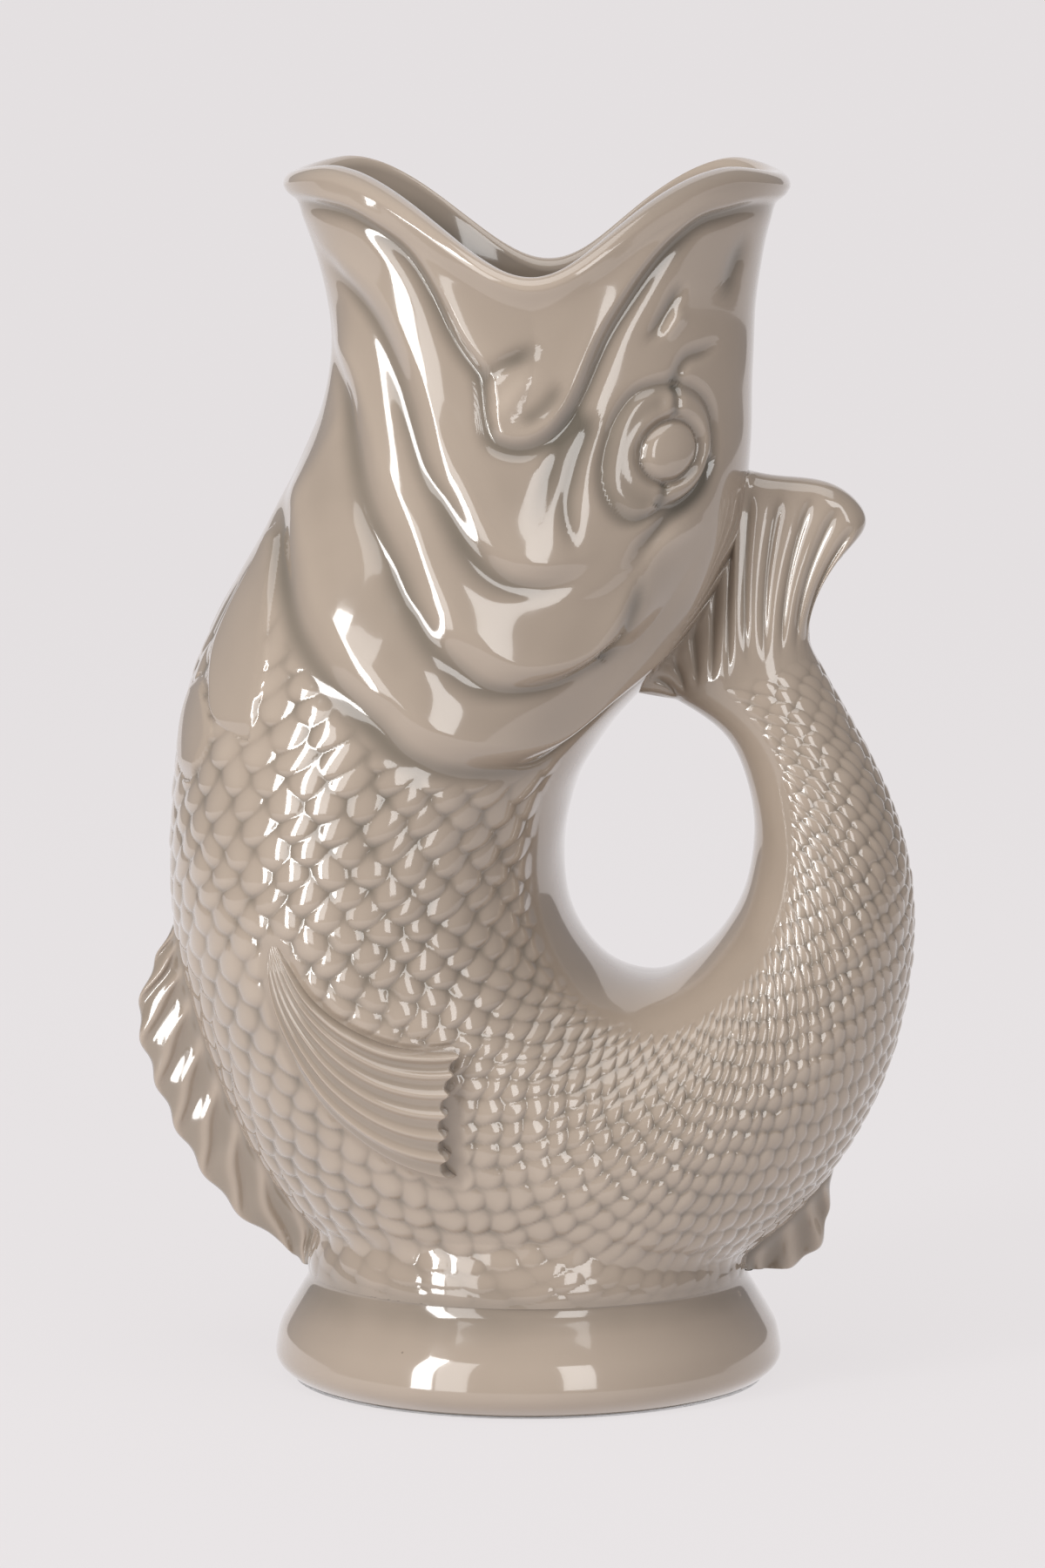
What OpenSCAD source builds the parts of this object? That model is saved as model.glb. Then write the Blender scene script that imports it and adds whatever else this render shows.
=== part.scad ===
// Fish-shaped gurgle jug in glazed earthenware.
// The wall is one hollow skin swept from the open mouth down the belly, round under the
// finger hole and up into the tail. Bands of that skin, split along the lines that the
// casting shows, are the shells; fins, folds and eyes are luted on the skin.
// Frame: X runs from the pouring side (negative) to the tail (positive), Z is up.

/* [Jug] */
// Height of the tips of the mouth above the table
jug_height = 249; // [180:1:320]
// Front of the belly to the back of the tail, without the fins
jug_length = 150; // [110:1:200]
// Widest part of the belly, side to side
body_width = 100; // [70:1:130]
// Thickness of the fired wall
wall = 5; // [3.5:0.5:7]

/* [Foot] */
// Widest diameter of the foot
foot_d = 103.6; // [99:0.2:130]
// Diameter of the crease over the foot
waist_d = 92.8; // [91:0.2:98]
// Diameter of the flat seat that carries the body
seat_d = 90; // [86:0.5:91]
// Height of the foot
foot_h = 24; // [18:0.5:32]
// Width of the ring that stands on the table
foot_ring_w = 6.5; // [4:0.5:9]
// Depth of the hollow under the foot
foot_recess = 5; // [3:0.5:8]

/* [Head] */
// Outward roll of the rim
rim_bead = 1.5; // [0.5:0.1:2.5]
// How far the edge of the lips stands proud of the face
lip_step = 1.4; // [0.6:0.1:2.5]
// How far the edge of each gill plate stands proud of the next
gill_step = 1.9; // [0.8:0.1:3]
// Height of the eyeball over the face
eye_h = 2.4; // [1.5:0.1:4]
// Height of the lids over the face
lid_h = 1.5; // [1:0.1:2.2]
// Depth of the leaf-shaped folds on the throat
fold_h = 1.2; // [0.8:0.1:2]

/* [Fins] */
// How far the belly fin stands out from the belly
belly_fin_depth = 13; // [6:0.5:18]
// How far the rear fin stands out from the belly
rear_fin_depth = 9.5; // [5:0.5:13]
// Thickness of the belly fin and of the rear fin
fin_t = 3.6; // [2.5:0.1:5]
// Sideways swing of the flutes of the belly fin and of the rear fin
flute_h = 0.9; // [0.4:0.1:1.5]
// How far the side fins stand proud of the body at their tip
side_fin_h = 5; // [3:0.1:7]
// Thickness of the tail fin at its edge
tail_fin_t = 10; // [7:0.2:13]
// Height of the ribs on the side fins and on the tail fin
rib_h = 0.5; // [0.2:0.1:0.9]

/* [Scales] */
// How far the rows of scales lift the face of the body
scale_h = 0.55; // [0.3:0.05:0.9]

/* [Hidden] */
// Gap between the skin and what is luted on it
seat_gap = 0.15;
// Points round the skin
round_n = 48;
// Facets of the foot
foot_fn = 96;
// Turn from one point round the skin to the next, in degrees
pitch = 360 / round_n;
// The sections of the skin stand this high over the foot, in all
body_h = jug_height - foot_h;

// Sections of the skin from above the mouth to past the root of the tail fin, in percent.
// Each is [front along, front up, back along, back up, half width]: along is of jug_length,
// up is of body_h over the foot, and half width is of half of body_width.
section_shares = [
    [-33.6, 102.2, 37.9, 102.2, 72.0],
    [-29.8,  95.1, 33.5,  95.1, 67.0],
    [-26.3,  88.0, 31.5,  88.0, 65.0],
    [-26.0,  80.4, 31.0,  80.4, 67.0],
    [-30.0,  73.1, 30.7,  73.3, 73.0],
    [-36.0,  65.3, 29.0,  65.3, 81.0],
    [-42.2,  57.6, 22.8,  57.6, 88.0],
    [-46.0,  49.8, 13.7,  50.6, 94.0],
    [-47.2,  41.8,  7.3,  44.1, 98.0],
    [-47.3,  33.8,  5.6,  37.1, 100],
    [-44.9,  24.9,  6.8,  31.8, 100],
    [-39.3,  14.4, 11.3,  27.7, 99.4],
    [-29.3,   4.0, 16.3,  26.3, 97.0],
    [-10.0,  -5.8, 19.7,  26.5, 92.0],
    [ 13.3,  -5.8, 22.9,  27.7, 85.0],
    [ 30.7,   0.9, 26.1,  29.5, 74.0],
    [ 42.7,   9.1, 28.9,  32.0, 61.0],
    [ 50.1,  18.7, 30.9,  35.4, 50.0],
    [ 52.8,  28.9, 31.7,  39.0, 41.0],
    [ 52.1,  37.1, 31.2,  42.6, 34.0],
    [ 48.7,  44.0, 29.7,  46.1, 29.0],
    [ 44.1,  50.0, 26.8,  48.9, 25.0],
    [ 39.4,  55.6, 21.1,  51.4, 22.0],
    [ 36.0,  60.4, 14.7,  53.8, 19.0]];

// Edges drawn on the skin, as [degrees round from the back, section], on each side alike
lip_edge_shares = [[0, 0.87], [30, 0.88], [37.5, 0.94], [45, 1.07], [52.5, 1.35], [60, 1.76],
    [67.5, 2.28], [75, 3.05], [82.5, 3.58], [90, 3.73], [97.5, 3.6], [105, 2.88], [112.5, 2.38],
    [120, 1.66], [127.5, 1.22], [135, 0.98], [142.5, 0.89], [150, 0.86], [180, 0.84]];
face_edge_shares = [[0, 5.0], [30, 5.05], [60, 5.15], [67.5, 5.24], [75, 5.28], [82.5, 5.22],
    [90, 5.03], [97.5, 4.72], [105, 4.36], [112.5, 4.0], [120, 3.52], [127.5, 2.98], [135, 2.42],
    [142.5, 2.02], [150, 1.78], [165, 1.63], [180, 1.6]];
cheek_edge_shares = [[0, 5.62], [30, 5.85], [45, 6.15], [52.5, 6.38], [60, 6.47], [67.5, 6.48],
    [75, 6.39], [82.5, 6.21], [90, 5.98], [97.5, 5.68], [105, 5.34], [112.5, 4.98], [120, 4.65],
    [127.5, 4.32], [135, 3.95], [142.5, 3.57], [150, 3.22], [157.5, 3.0], [165, 2.88],
    [180, 2.8]];
gill_edge_shares = [[0, 6.2], [15, 6.35], [22.5, 6.6], [30, 7.0], [37.5, 7.35], [45, 7.5],
    [60, 7.52], [75, 7.36], [90, 7.03], [97.5, 6.8], [105, 6.58], [112.5, 6.35], [120, 6.08],
    [127.5, 5.8], [135, 5.5], [142.5, 5.22], [150, 4.95], [165, 4.65], [180, 4.55]];
// Sections at which the shells of the body and of the tail part
shoulder_end_share = 9.2;
belly_end_share = 16.2;
bend_end_share = 19.2;
tail_end_share = 22;

function lerp(a, b, s) = a + (b - a) * s;
function clamp(s) = min(1, max(0, s));
function smooth(s) = let (c = clamp(s)) c * c * (3 - 2 * c);
function angles() = [for (j = [0:round_n - 1]) j * pitch];
// Degrees from the back on either side, 0 to 180
function side_angle(th) = th <= 180 ? th : 360 - th;

// Sections in millimetres, and the control points that make a smooth curve pass by them
function sections() = [for (s = section_shares)
    [s[0] * jug_length / 100, foot_h + s[1] * body_h / 100,
     s[2] * jug_length / 100, foot_h + s[3] * body_h / 100, s[4] * body_width / 200]];
function stretched(p) = let (n = len(p))
    concat([2 * p[0] - p[1]], p, [2 * p[n - 1] - p[n - 2]]);
function controls(p) = let (q = stretched(p))
    stretched([for (i = [1:len(p)]) (8 * q[i] - q[i - 1] - q[i + 1]) / 6]);
skin_controls = controls(sections());

function spline(c, t) = let (
    i = min(len(c) - 4, max(0, floor(t))),
    u = t - i,
    v = 1 - u)
    (v * v * v * c[i] + (3 * u * u * u - 6 * u * u + 4) * c[i + 1]
    + (3 * v * v * v - 6 * v * v + 4) * c[i + 2] + u * u * u * c[i + 3]) / 6;

// Point of a section s, th degrees round from the back, out by off
function section_point(s, th, off) = let (
    mid = [s[0] + s[2], s[1] + s[3]] / 2,
    half = [s[2] - s[0], s[3] - s[1]] / 2,
    reach = norm(half),
    out = (reach + off) * cos(th) / reach)
    [mid[0] + out * half[0], -(s[4] + off) * sin(th), mid[1] + out * half[1]];

// Point of the skin at section t, th degrees round from the back, out by off
function skin(t, th, off) = section_point(spline(skin_controls, t), th,
    off + scale_h * scale_cover(t, th));

// Where the scales lie: below the gill plates and short of the tail fin, but not on the plain
// skin round the finger hole, which reaches this many degrees round at each section
bare_shares = [[7.8, 30], [10.5, 31], [12, 40], [14, 49], [16, 58], [18, 68], [20, 77], [22, 82]];
function scale_cover(t, th) = let (a = side_angle(th))
    smooth((t - gill_edge(th)) / 0.5) * smooth((a - lookup(t, bare_shares)) / 14)
    * smooth(tail_end_share - t);

// The rim of the mouth: section of its two tips, how far it dips between them, the share of the
// way to the tips at which the dip ends, and how far the tips themselves curl down again
rim_tip_share = 0.36;
rim_dip_share = 1.36;
rim_flank_share = 0.84;
rim_curl_share = 0.12;
// Edges of the bands
rim_edge = function(th) let (u = abs(cos(th)))
    rim_tip_share + rim_dip_share * pow(cos(90 * min(1, u / rim_flank_share)), 2)
    + rim_curl_share * pow(max(0, 4 * u - 3), 2);
lip_edge = function(th) lookup(side_angle(th), lip_edge_shares);
face_edge = function(th) lookup(side_angle(th), face_edge_shares);
cheek_edge = function(th) lookup(side_angle(th), cheek_edge_shares);
gill_edge = function(th) lookup(side_angle(th), gill_edge_shares);

// How much of a step shows round the jug: it fades out towards the back, and the inner
// plates fade out at the front too
face_fade = function(th) let (a = side_angle(th)) smooth((a - 62) / 25) * smooth((172 - a) / 25);
cheek_fade = function(th) let (a = side_angle(th)) smooth((a - 36) / 20) * smooth((178 - a) / 20);
gill_fade = function(th) smooth((side_angle(th) - 12) / 20);
lip_fade = function(th) let (a = side_angle(th))
    0.3 + 0.7 * smooth((a - 20) / 25) * smooth((160 - a) / 25);
no_fade = function(th) 0;

// Rings of points from edge a to edge b of a band, count steps apart. The outer ones rise
// towards edge b by step.
function outer_rings(a, b, count, step, fade) = [for (i = [0:count])
    [for (th = angles())
        skin(lerp(a(th), b(th), i / count), th, step * fade(th) * pow(i / count, 2))]];
function inner_rings(a, b, count) = [for (i = [0:count])
    [for (th = angles()) skin(lerp(a(th), b(th), i / count), th, -wall)]];
function ring(edge, off) = [for (th = angles()) skin(edge(th), th, off)];
function reversed(list) = [for (i = [len(list) - 1:-1:0]) list[i]];

// Triangles between ring i and ring k of n points. Where two shells meet, the first ends in a
// strip of turn 1 and the second starts with one of turn -1, which gives both the same
// triangles. Elsewhere turn is 0, and each four points are split at their shorter diagonal.
function strip(points, i, k, n, turn) = [for (j = [0:n - 1]) let (
    m = (j + 1) % n,
    a = i * n + j,
    b = i * n + m,
    c = k * n + j,
    d = k * n + m,
    from_a = turn == 0 ? norm(points[a] - points[d]) < norm(points[b] - points[c]) : turn > 0)
    each from_a ? [[a, c, d], [a, d, b]] : [[a, c, b], [b, c, d]]];
function flat_points(rings) = [for (r = rings) each r];

// A closed wall through a loop of rings. The strip after ring seam and the one that closes the
// loop are where the next shell and the one before are met.
module wall_of(rings, seam) {
    m = len(rings);
    points = flat_points(rings);
    polyhedron(points, [for (i = [0:m - 1])
        each strip(points, i, (i + 1) % m, len(rings[0]), i == seam ? 1 : i == m - 1 ? -1 : 0)],
        convexity = 8);
}

// A closed wall through a chain of rings, with a point at each end
module capped_wall_of(first, rings, last, seam) {
    m = len(rings);
    n = len(rings[0]);
    points = concat(flat_points(rings), [first, last]);
    start = [for (j = [0:n - 1]) [m * n, j, (j + 1) % n]];
    end = [for (j = [0:n - 1]) [m * n + 1, (m - 1) * n + (j + 1) % n, (m - 1) * n + j]];
    polyhedron(points, concat(start, end, [for (i = [0:m - 2])
        each strip(points, i, i + 1, n, i == seam ? -1 : 0)]), convexity = 8);
}

// A band of the skin from edge a to edge b, whose lower rim stands proud by step
module band(a, b, outer_count, inner_count, step, fade) {
    proud = step > 0 ? [ring(b, 0)] : [];
    wall_of(concat(outer_rings(a, b, outer_count, step, fade), proud,
        reversed(inner_rings(a, b, inner_count))), outer_count + len(proud));
}

module foot_ring() {
    color("#b3a390")
    translate([foot_shift, 0, 0])
    rotate_extrude($fn = foot_fn)
    polygon(concat(foot_outside(), foot_inside()));
}

// The foot stands under the middle of the body
foot_shift = 0.008 * jug_length;
// Shares of the foot's height at which it is widest, and at which the crease lies
foot_wide_share = 0.31;
foot_waist_share = 0.89;
// How far the foot tucks in from there to the table, in shares of the height where it is widest
foot_tuck_share = 0.3;
// Roundness of the flank of the foot, 2 for an ellipse
flank_power = 1.5;
function foot_outside() = let (
    r = foot_d / 2,
    waist = waist_d / 2,
    wide_z = foot_wide_share * foot_h,
    tuck = foot_tuck_share * wide_z,
    stand = r - tuck,
    waist_z = foot_waist_share * foot_h)
    concat(
        [[0, foot_recess], [stand - foot_ring_w - foot_recess, foot_recess]],
        [for (a = [30:30:90]) [stand - foot_ring_w - foot_recess * cos(a),
            foot_recess * (1 - sin(a))]],
        [for (a = [-90:18:0]) [r - tuck * (1 - cos(a)), wide_z * (1 + sin(a))]],
        [for (a = [15:15:90]) [waist + (r - waist) * pow(cos(a), 2 / flank_power),
            wide_z + (waist_z - wide_z) * pow(sin(a), 2 / flank_power)]],
        [for (s = [0.35, 0.7]) [lerp(waist, seat_d / 2, s), lerp(waist_z, foot_h, s * s)]],
        [[seat_d / 2, foot_h]]);
function foot_inside() = let (
    mouth = seat_d / 2 - 1.7 * wall,
    belly = foot_d / 2 - 2 * wall,
    floor_z = foot_recess + wall,
    high = (foot_h - floor_z) / 2)
    concat(
        [[mouth, foot_h]],
        [for (a = [60:-20:-60]) [lerp(mouth, belly, cos(a)), floor_z + high * (1 + sin(a))]],
        [[mouth, floor_z], [0, floor_z]]);

// Over the foot the body spreads out again in a cove, up to this share of body_h. Round the
// foot's axis the cove is as wide as the seat, and narrows by its slope with every millimetre
// up, until the belly parts from it.
cove_h_share = 0.055;
cove_slope_share = 0.24;
cove_blend_share = 0.44;
cove_fade_share = 0.45;
cove_top = foot_h + cove_h_share * body_h;
function larger(a, b, k) = let (s = clamp(0.5 + (a - b) / (2 * k))) lerp(b, a, s) + k * s * (1 - s);
// A point of the body moved out to the cove, or to the face that lies out by off from it
function coved(p, off) = let (
    r = max(norm([p[0] - foot_shift, p[1]]), seat_gap),
    cove = seat_d / 2 - cove_slope_share * (p[2] - foot_h) + off,
    fade = smooth((cove_top - p[2]) / (cove_top - foot_h) / cove_fade_share),
    g = 1 + fade * (larger(r, cove, cove_blend_share * wall) / r - 1))
    [foot_shift + (p[0] - foot_shift) * g, p[1] * g, p[2]];

// The cove is drawn in level rings. The front of the skin crosses a height twice, between the
// sections above and below it, and in between each section has one point a side at that height.
front_cross_shares = [11, 13.5];
rear_cross_shares = [17, 13.5];
cross_steps = 20;
function front_up(t, off) = section_point(spline(skin_controls, t), 180, off)[2];
function crossing(z, off, ends, n) = let (t = (ends[0] + ends[1]) / 2)
    n == 0 ? t : crossing(z, off, front_up(t, off) > z ? [t, ends[1]] : [ends[0], t], n - 1);
function level_point(t, z, off) = let (
    s = spline(skin_controls, t),
    top = section_point(s, 0, off)[2],
    low = front_up(t, off))
    section_point(s, acos(max(-1, (2 * z - top - low) / (top - low))), off);
function level_ring(z, off) = let (
    out = scale_h + off,
    front = crossing(z, out, front_cross_shares, cross_steps),
    rear = crossing(z, out, rear_cross_shares, cross_steps),
    near = [for (j = [0:round_n / 2])
        coved(level_point(lerp(front, rear, (1 - cos(j * pitch)) / 2), z, out), off)])
    concat(near, [for (j = [round_n / 2 - 1:-1:1]) [near[j][0], -near[j][1], near[j][2]]]);
// Heights of the rings, from the seat to the top of the cove outside and down again inside
cove_out_shares = [0, 0.12, 0.28, 0.48, 0.7, 1];
cove_in_shares = [1, 0.5, 0];
module cove_ring() {
    color("#b3a390")
    wall_of(concat(
        [for (u = cove_out_shares) level_ring(lerp(foot_h, cove_top, u), 0)],
        [for (u = cove_in_shares) level_ring(lerp(foot_h, cove_top, u), -wall)]),
        len(cove_out_shares) - 1);
}

// The belly is cut off level, where it stands on the cove
module belly_shell() {
    color("#b3a390")
    difference() {
        band(function(th) shoulder_end_share, function(th) belly_end_share, 12, 6, 0, no_fade);
        translate([-jug_length, -body_width, cove_top - body_h])
        cube([2 * jug_length, 2 * body_width, body_h]);
    }
}

module shoulder_shell() {
    color("#b3a390")
    band(gill_edge, function(th) shoulder_end_share, 5, 3, 0, no_fade);
}

module tail_bend() {
    color("#b3a390")
    band(function(th) belly_end_share, function(th) bend_end_share, 5, 3, 0, no_fade);
}

// The air chamber in the tail ends in a dome short of the fin
module tail_handle() {
    color("#b3a390")
    capped_wall_of(middle(dome_start_share + dome_rise_share),
        concat(
            [for (a = [60, 30]) let (t = dome_start_share + dome_rise_share * sin(a))
                [for (th = angles()) lerp(middle(t), skin(t, th, -wall), cos(a))]],
            [for (i = [3:-1:0])
                [for (th = angles()) skin(lerp(bend_end_share, dome_start_share, i / 3), th, -wall)]],
            [for (i = [0:5])
                [for (th = angles()) skin(lerp(bend_end_share, tail_end_share, i / 5), th, 0)]]),
        middle(tail_end_share), 5);
}
// Section where the dome over the air chamber starts, and its rise in sections
dome_start_share = 20.7;
dome_rise_share = 0.6;
function half_width(t) = spline(skin_controls, t)[4];
// Middle of the skin at section t
function middle(t) = skin(t, 90, -half_width(t));

// The tail fin fans out from the root ring to a rim that runs up the back of the head and
// over to a free tip. The rim follows the head between these sections, from the lower lobe to
// the top.
seam_low_share = 6.52;
seam_high_share = 4.22;
module tail_fin() {
    color("#b8a895")
    fan_of(concat([[for (th = angles()) skin(tail_end_share, th, 0)]],
        [for (i = [1:5]) [for (j = [0:round_n - 1]) fin_point(j, i / 5)]]),
        middle(tail_end_share),
        [for (j = [1:round_n / 2 - 1]) fin_rim(j * pitch, 0)]);
}
// Half thickness of the fin's rim, th degrees round
function rim_half(th) = tail_fin_t / 2 * pow(abs(sin(th)), 0.45);
// Outline of the free part of the fin's rim, from the head over to its outer tip, in percent
// along jug_length and up body_h
free_rim_shares = [[30.3, 71.9], [33.6, 72.2], [38.0, 71.8], [42.0, 71.3], [45.6, 70.3],
    [47.0, 67.7], [46.2, 65.8]];
free_rim = controls(free_rim_shares);
function free_point(s) = let (p = spline(free_rim, s * (len(free_rim) - 3)))
    [p[0] * jug_length / 100, foot_h + p[1] * body_h / 100];
// Share of the way round at which the rim leaves the head
leave_share = 0.5;
// Point of the fin's rim, th degrees round from its lower lobe, out from the mid plane by y
function fin_rim(th, y) = let (a = side_angle(th) / 180)
    a <= leave_share
        ? let (t = lerp(seam_low_share, seam_high_share, a / leave_share),
               lean = asin(y / half_width(t)))
          skin(t, lean, seat_gap)
        : let (p = free_point((a - leave_share) / (1 - leave_share))) [p[0], -y, p[1]];
// How far the rays at the outer edge bend, along and up
fin_bend_share = [-0.068, -0.011];
// Point of the fin s of the way out, with ribs that rise towards the rim. The rays bend
// inwards near the outer edge, where the tail is narrowest.
function fin_point(j, s) = let (
    th = j * pitch,
    way = side_angle(th) / 180,
    hand = th <= 180 ? 1 : -1,
    root = skin(tail_end_share, th, 0),
    tip = fin_rim(th, hand * rim_half(th)),
    bend = [fin_bend_share[0] * jug_length, 0, fin_bend_share[1] * body_h] * pow(way, 2),
    mid = (root + tip) / 2 + bend,
    p = (1 - s) * (1 - s) * root + 2 * s * (1 - s) * mid + s * s * tip,
    rib = rib_h * s * (j % 2 == 0 ? 1 : -1) * pow(abs(sin(th)), 0.5))
    s == 1 ? tip : [p[0], p[1] - hand * rib, p[2]];
// Closed solid through rings that start from a point and end in a zip along a mid line
module fan_of(rings, first, mids) {
    m = len(rings);
    n = round_n;
    h = n / 2;
    last = (m - 1) * n;
    mid_from = m * n + 1;
    // Index of the mid line's point j, which is the rim's own point at both ends
    function mid_at(j) = j == 0 ? last : j == h ? last + h : mid_from + j - 1;
    points = concat(flat_points(rings), [first], mids);
    start = [for (j = [0:n - 1]) [m * n, j, (j + 1) % n]];
    near = [for (j = [0:h - 1]) each
        [if (j > 0) [last + j, mid_at(j), last + j + 1],
         if (j > 0 && j < h - 1) [mid_at(j), mid_at(j + 1), last + j + 1],
         if (j == 0) [last, mid_at(1), last + 1]]];
    far = [for (j = [0:h - 1]) let (a = last + (n - j) % n, b = last + n - j - 1) each
        [if (j > 0) [a, b, mid_at(j)],
         if (j > 0 && j < h - 1) [mid_at(j), b, mid_at(j + 1)],
         if (j == 0) [last, b, mid_at(1)]]];
    polyhedron(points, concat(start, near, far,
        [for (i = [0:m - 2]) each strip(points, i, i + 1, n, 0)]), convexity = 8);
}

module gill_cover() {
    color("#b5a592")
    band(cheek_edge, gill_edge, 4, 2, gill_step, gill_fade);
}

module cheek_plate() {
    color("#b3a390")
    band(face_edge, cheek_edge, 3, 2, gill_step, cheek_fade);
}

module face_shell() {
    color("#b5a592")
    band(lip_edge, face_edge, 4, 2, gill_step, face_fade);
}

// The lips end in a rolled rim. Each row of its table is [sections below the edge, share of the
// bead, share of the wall inwards], from the inside of the wall over the top to the outside.
rim_round_shares = [[0.16, 0, 1], [0.04, 0, 0.88], [-0.02, 0, 0.65], [-0.03, 0, 0.4],
    [0, 0.2, 0.15], [0.07, 0.85, 0], [0.2, 1, 0]];
module lip_rim() {
    color("#b8a895")
    wall_of(concat(
        [for (s = [0.25, 0.5, 0.75, 1]) [for (th = angles())
            skin(lerp(rim_edge(th) + rim_round_shares[6][0], lip_edge(th), s), th,
                lerp(rim_bead, lip_step * lip_fade(th), s) * lip_swell(s))]],
        [ring(lip_edge, 0), ring(lip_edge, -wall)],
        [[for (th = angles())
            skin(lerp(rim_edge(th) + rim_round_shares[0][0], lip_edge(th), 0.5), th, -wall)]],
        [for (r = rim_round_shares) [for (th = angles())
            skin(rim_edge(th) + r[0], th, r[1] * rim_bead - r[2] * wall)]]), 4);
}
function lip_swell(s) = 1 - 0.5 * sin(180 * s);

// Mirror image on the far side
module far_side() {
    mirror([0, 1, 0]) children();
}

// Centre of the eye on the skin, and how far the eyeball and its lids reach from there, each as
// [sections, degrees]
eye_at_shares = [3.77, 48.5];
eyeball_shares = [0.33, 8.8];
lid_shares = [0.8, 18];
eye_n = 24;
// Ring round the eye, s of reach out from its centre. A point of 1 draws it out to an almond.
function eye_ring(s, reach, point, off) = [for (j = [0:eye_n - 1]) let (
    a = -360 * j / eye_n,
    side = sin(a) * pow(abs(sin(a)), 0.3 * point))
    skin(eye_at_shares[0] - s * reach[0] * cos(a), eye_at_shares[1] - s * reach[1] * side, off)];
module eye_left() {
    color("#b8a895")
    capped_wall_of(skin(eye_at_shares[0], eye_at_shares[1], seat_gap),
        concat([for (s = [0.5, 1]) eye_ring(s, eyeball_shares, 0, seat_gap)],
            [for (s = [1, 0.9, 0.7, 0.4])
                eye_ring(s, eyeball_shares, 0, seat_gap + rib_h + eye_h * sqrt(1 - s * s))]),
        skin(eye_at_shares[0], eye_at_shares[1], seat_gap + rib_h + eye_h));
}
module eye_right() {
    far_side() eye_left();
}

// The lids are a raised ring round the eyeball, drawn out to an almond. Each row of its table is
// [share of the way out, share of lid_h].
lid_round_shares = [[0, 0], [1, 0], [1, 0.25], [0.7, 0.8], [0.35, 1], [0.1, 0.7], [0, 0.3]];
module eyelid_left() {
    color("#b3a390")
    wall_of([for (r = lid_round_shares)
        eye_ring(1, lerp(eyeball_shares * 1.15, lid_shares, r[0]), r[0],
            seat_gap + r[1] * lid_h)]);
}
module eyelid_right() {
    far_side() eyelid_left();
}

// Columns of a leaf
leaf_cols = 7;
// A leaf on the skin: rows run from its root to its tip, [section, low angle, high angle],
// and the crown of each row stands out by rise
module leaf(rows, rise, edge) {
    n = leaf_cols;
    under = [for (r = rows) [for (i = [0:n]) skin(r[0], lerp(r[1], r[2], i / n), seat_gap)]];
    over = [for (r = rows) [for (i = [0:n])
        skin(r[0], lerp(r[1], r[2], i / n), seat_gap + edge + rise * sin(180 * i / n))]];
    slab(under, over);
}

// A closed plate between two grids of points with the same rows and columns
module slab(under, over) {
    m = len(under);
    n = len(under[0]);
    top = m * n;
    polyhedron(concat(flat_points(under), flat_points(over)), concat(
        [for (i = [0:m - 2]) for (j = [0:n - 2]) let (a = i * n + j, b = a + 1, c = a + n,
            d = c + 1) each [[a, b, c], [b, d, c], [top + a, top + c, top + b],
            [top + b, top + c, top + d]]],
        [for (j = [0:n - 2]) let (a = j, b = j + 1, c = (m - 1) * n + j, d = c + 1) each
            [[a, top + a, b], [b, top + a, top + b], [c, d, top + c], [d, top + d, top + c]]],
        [for (i = [0:m - 2]) let (a = i * n, b = a + n, c = a + n - 1, d = c + n) each
            [[a, b, top + a], [b, top + b, top + a], [c, top + c, d], [d, top + c, top + d]]]),
        convexity = 4);
}

// Rows of the two leaves on the throat, from the root of each to its tip
upper_fold_shares = [[4.98, 151.5, 162], [5.2, 147, 162], [5.45, 142.5, 162], [5.8, 137.5, 162],
    [6.1, 132.5, 161], [6.4, 129.5, 156], [6.7, 128, 149], [6.88, 127.5, 142.5],
    [7.03, 129, 133.5]];
lower_fold_shares = [[6.55, 159, 163.5], [6.8, 152, 168], [7, 146, 170], [7.2, 144, 171],
    [7.42, 145.5, 170], [7.6, 150, 166]];
module throat_folds_left() {
    color("#b5a592")
    union() {
        leaf(upper_fold_shares, fold_h, rib_h);
        leaf(lower_fold_shares, fold_h, rib_h);
    }
}
module throat_folds_right() {
    far_side() throat_folds_left();
}

// Rows of the side fin from root to tip, [upper section, upper angle, lower section, lower angle]
side_fin_shares = [[9.3, 113.5, 9.4, 116.5], [9.62, 110.5, 9.72, 118], [10.03, 106.5, 10.2, 118.5],
    [10.36, 101, 10.7, 117.5], [10.62, 94.5, 11.2, 115], [10.82, 88.5, 11.6, 111],
    [10.98, 82.5, 11.95, 107], [11.1, 77.5, 12.18, 103], [11.2, 74, 12.3, 100]];
side_fin_cols = 20;
// Height of the side fin in row i and column c: it rises to the tip, is highest along its
// middle and has a rib every four columns
function side_fin_rise(i, c) = let (
    crown = sin(180 * c / side_fin_cols),
    run = lerp(0.15, 1, pow(i / (len(side_fin_shares) - 1), 1.3)))
    rib_h + run * (side_fin_h - rib_h) * (0.55 + 0.45 * crown) - rib_h * crown * cos(90 * c);
function side_fin_rows(off) = [for (i = [0:len(side_fin_shares) - 1])
    [for (c = [0:side_fin_cols]) let (r = side_fin_shares[i], s = c / side_fin_cols)
        skin(lerp(r[0], r[2], s), lerp(r[1], r[3], s), seat_gap + off(i, c))]];
module side_fin_left() {
    color("#b8a895")
    slab(side_fin_rows(function(i, c) 0), side_fin_rows(function(i, c) side_fin_rise(i, c)));
}
module side_fin_right() {
    far_side() side_fin_left();
}

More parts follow.
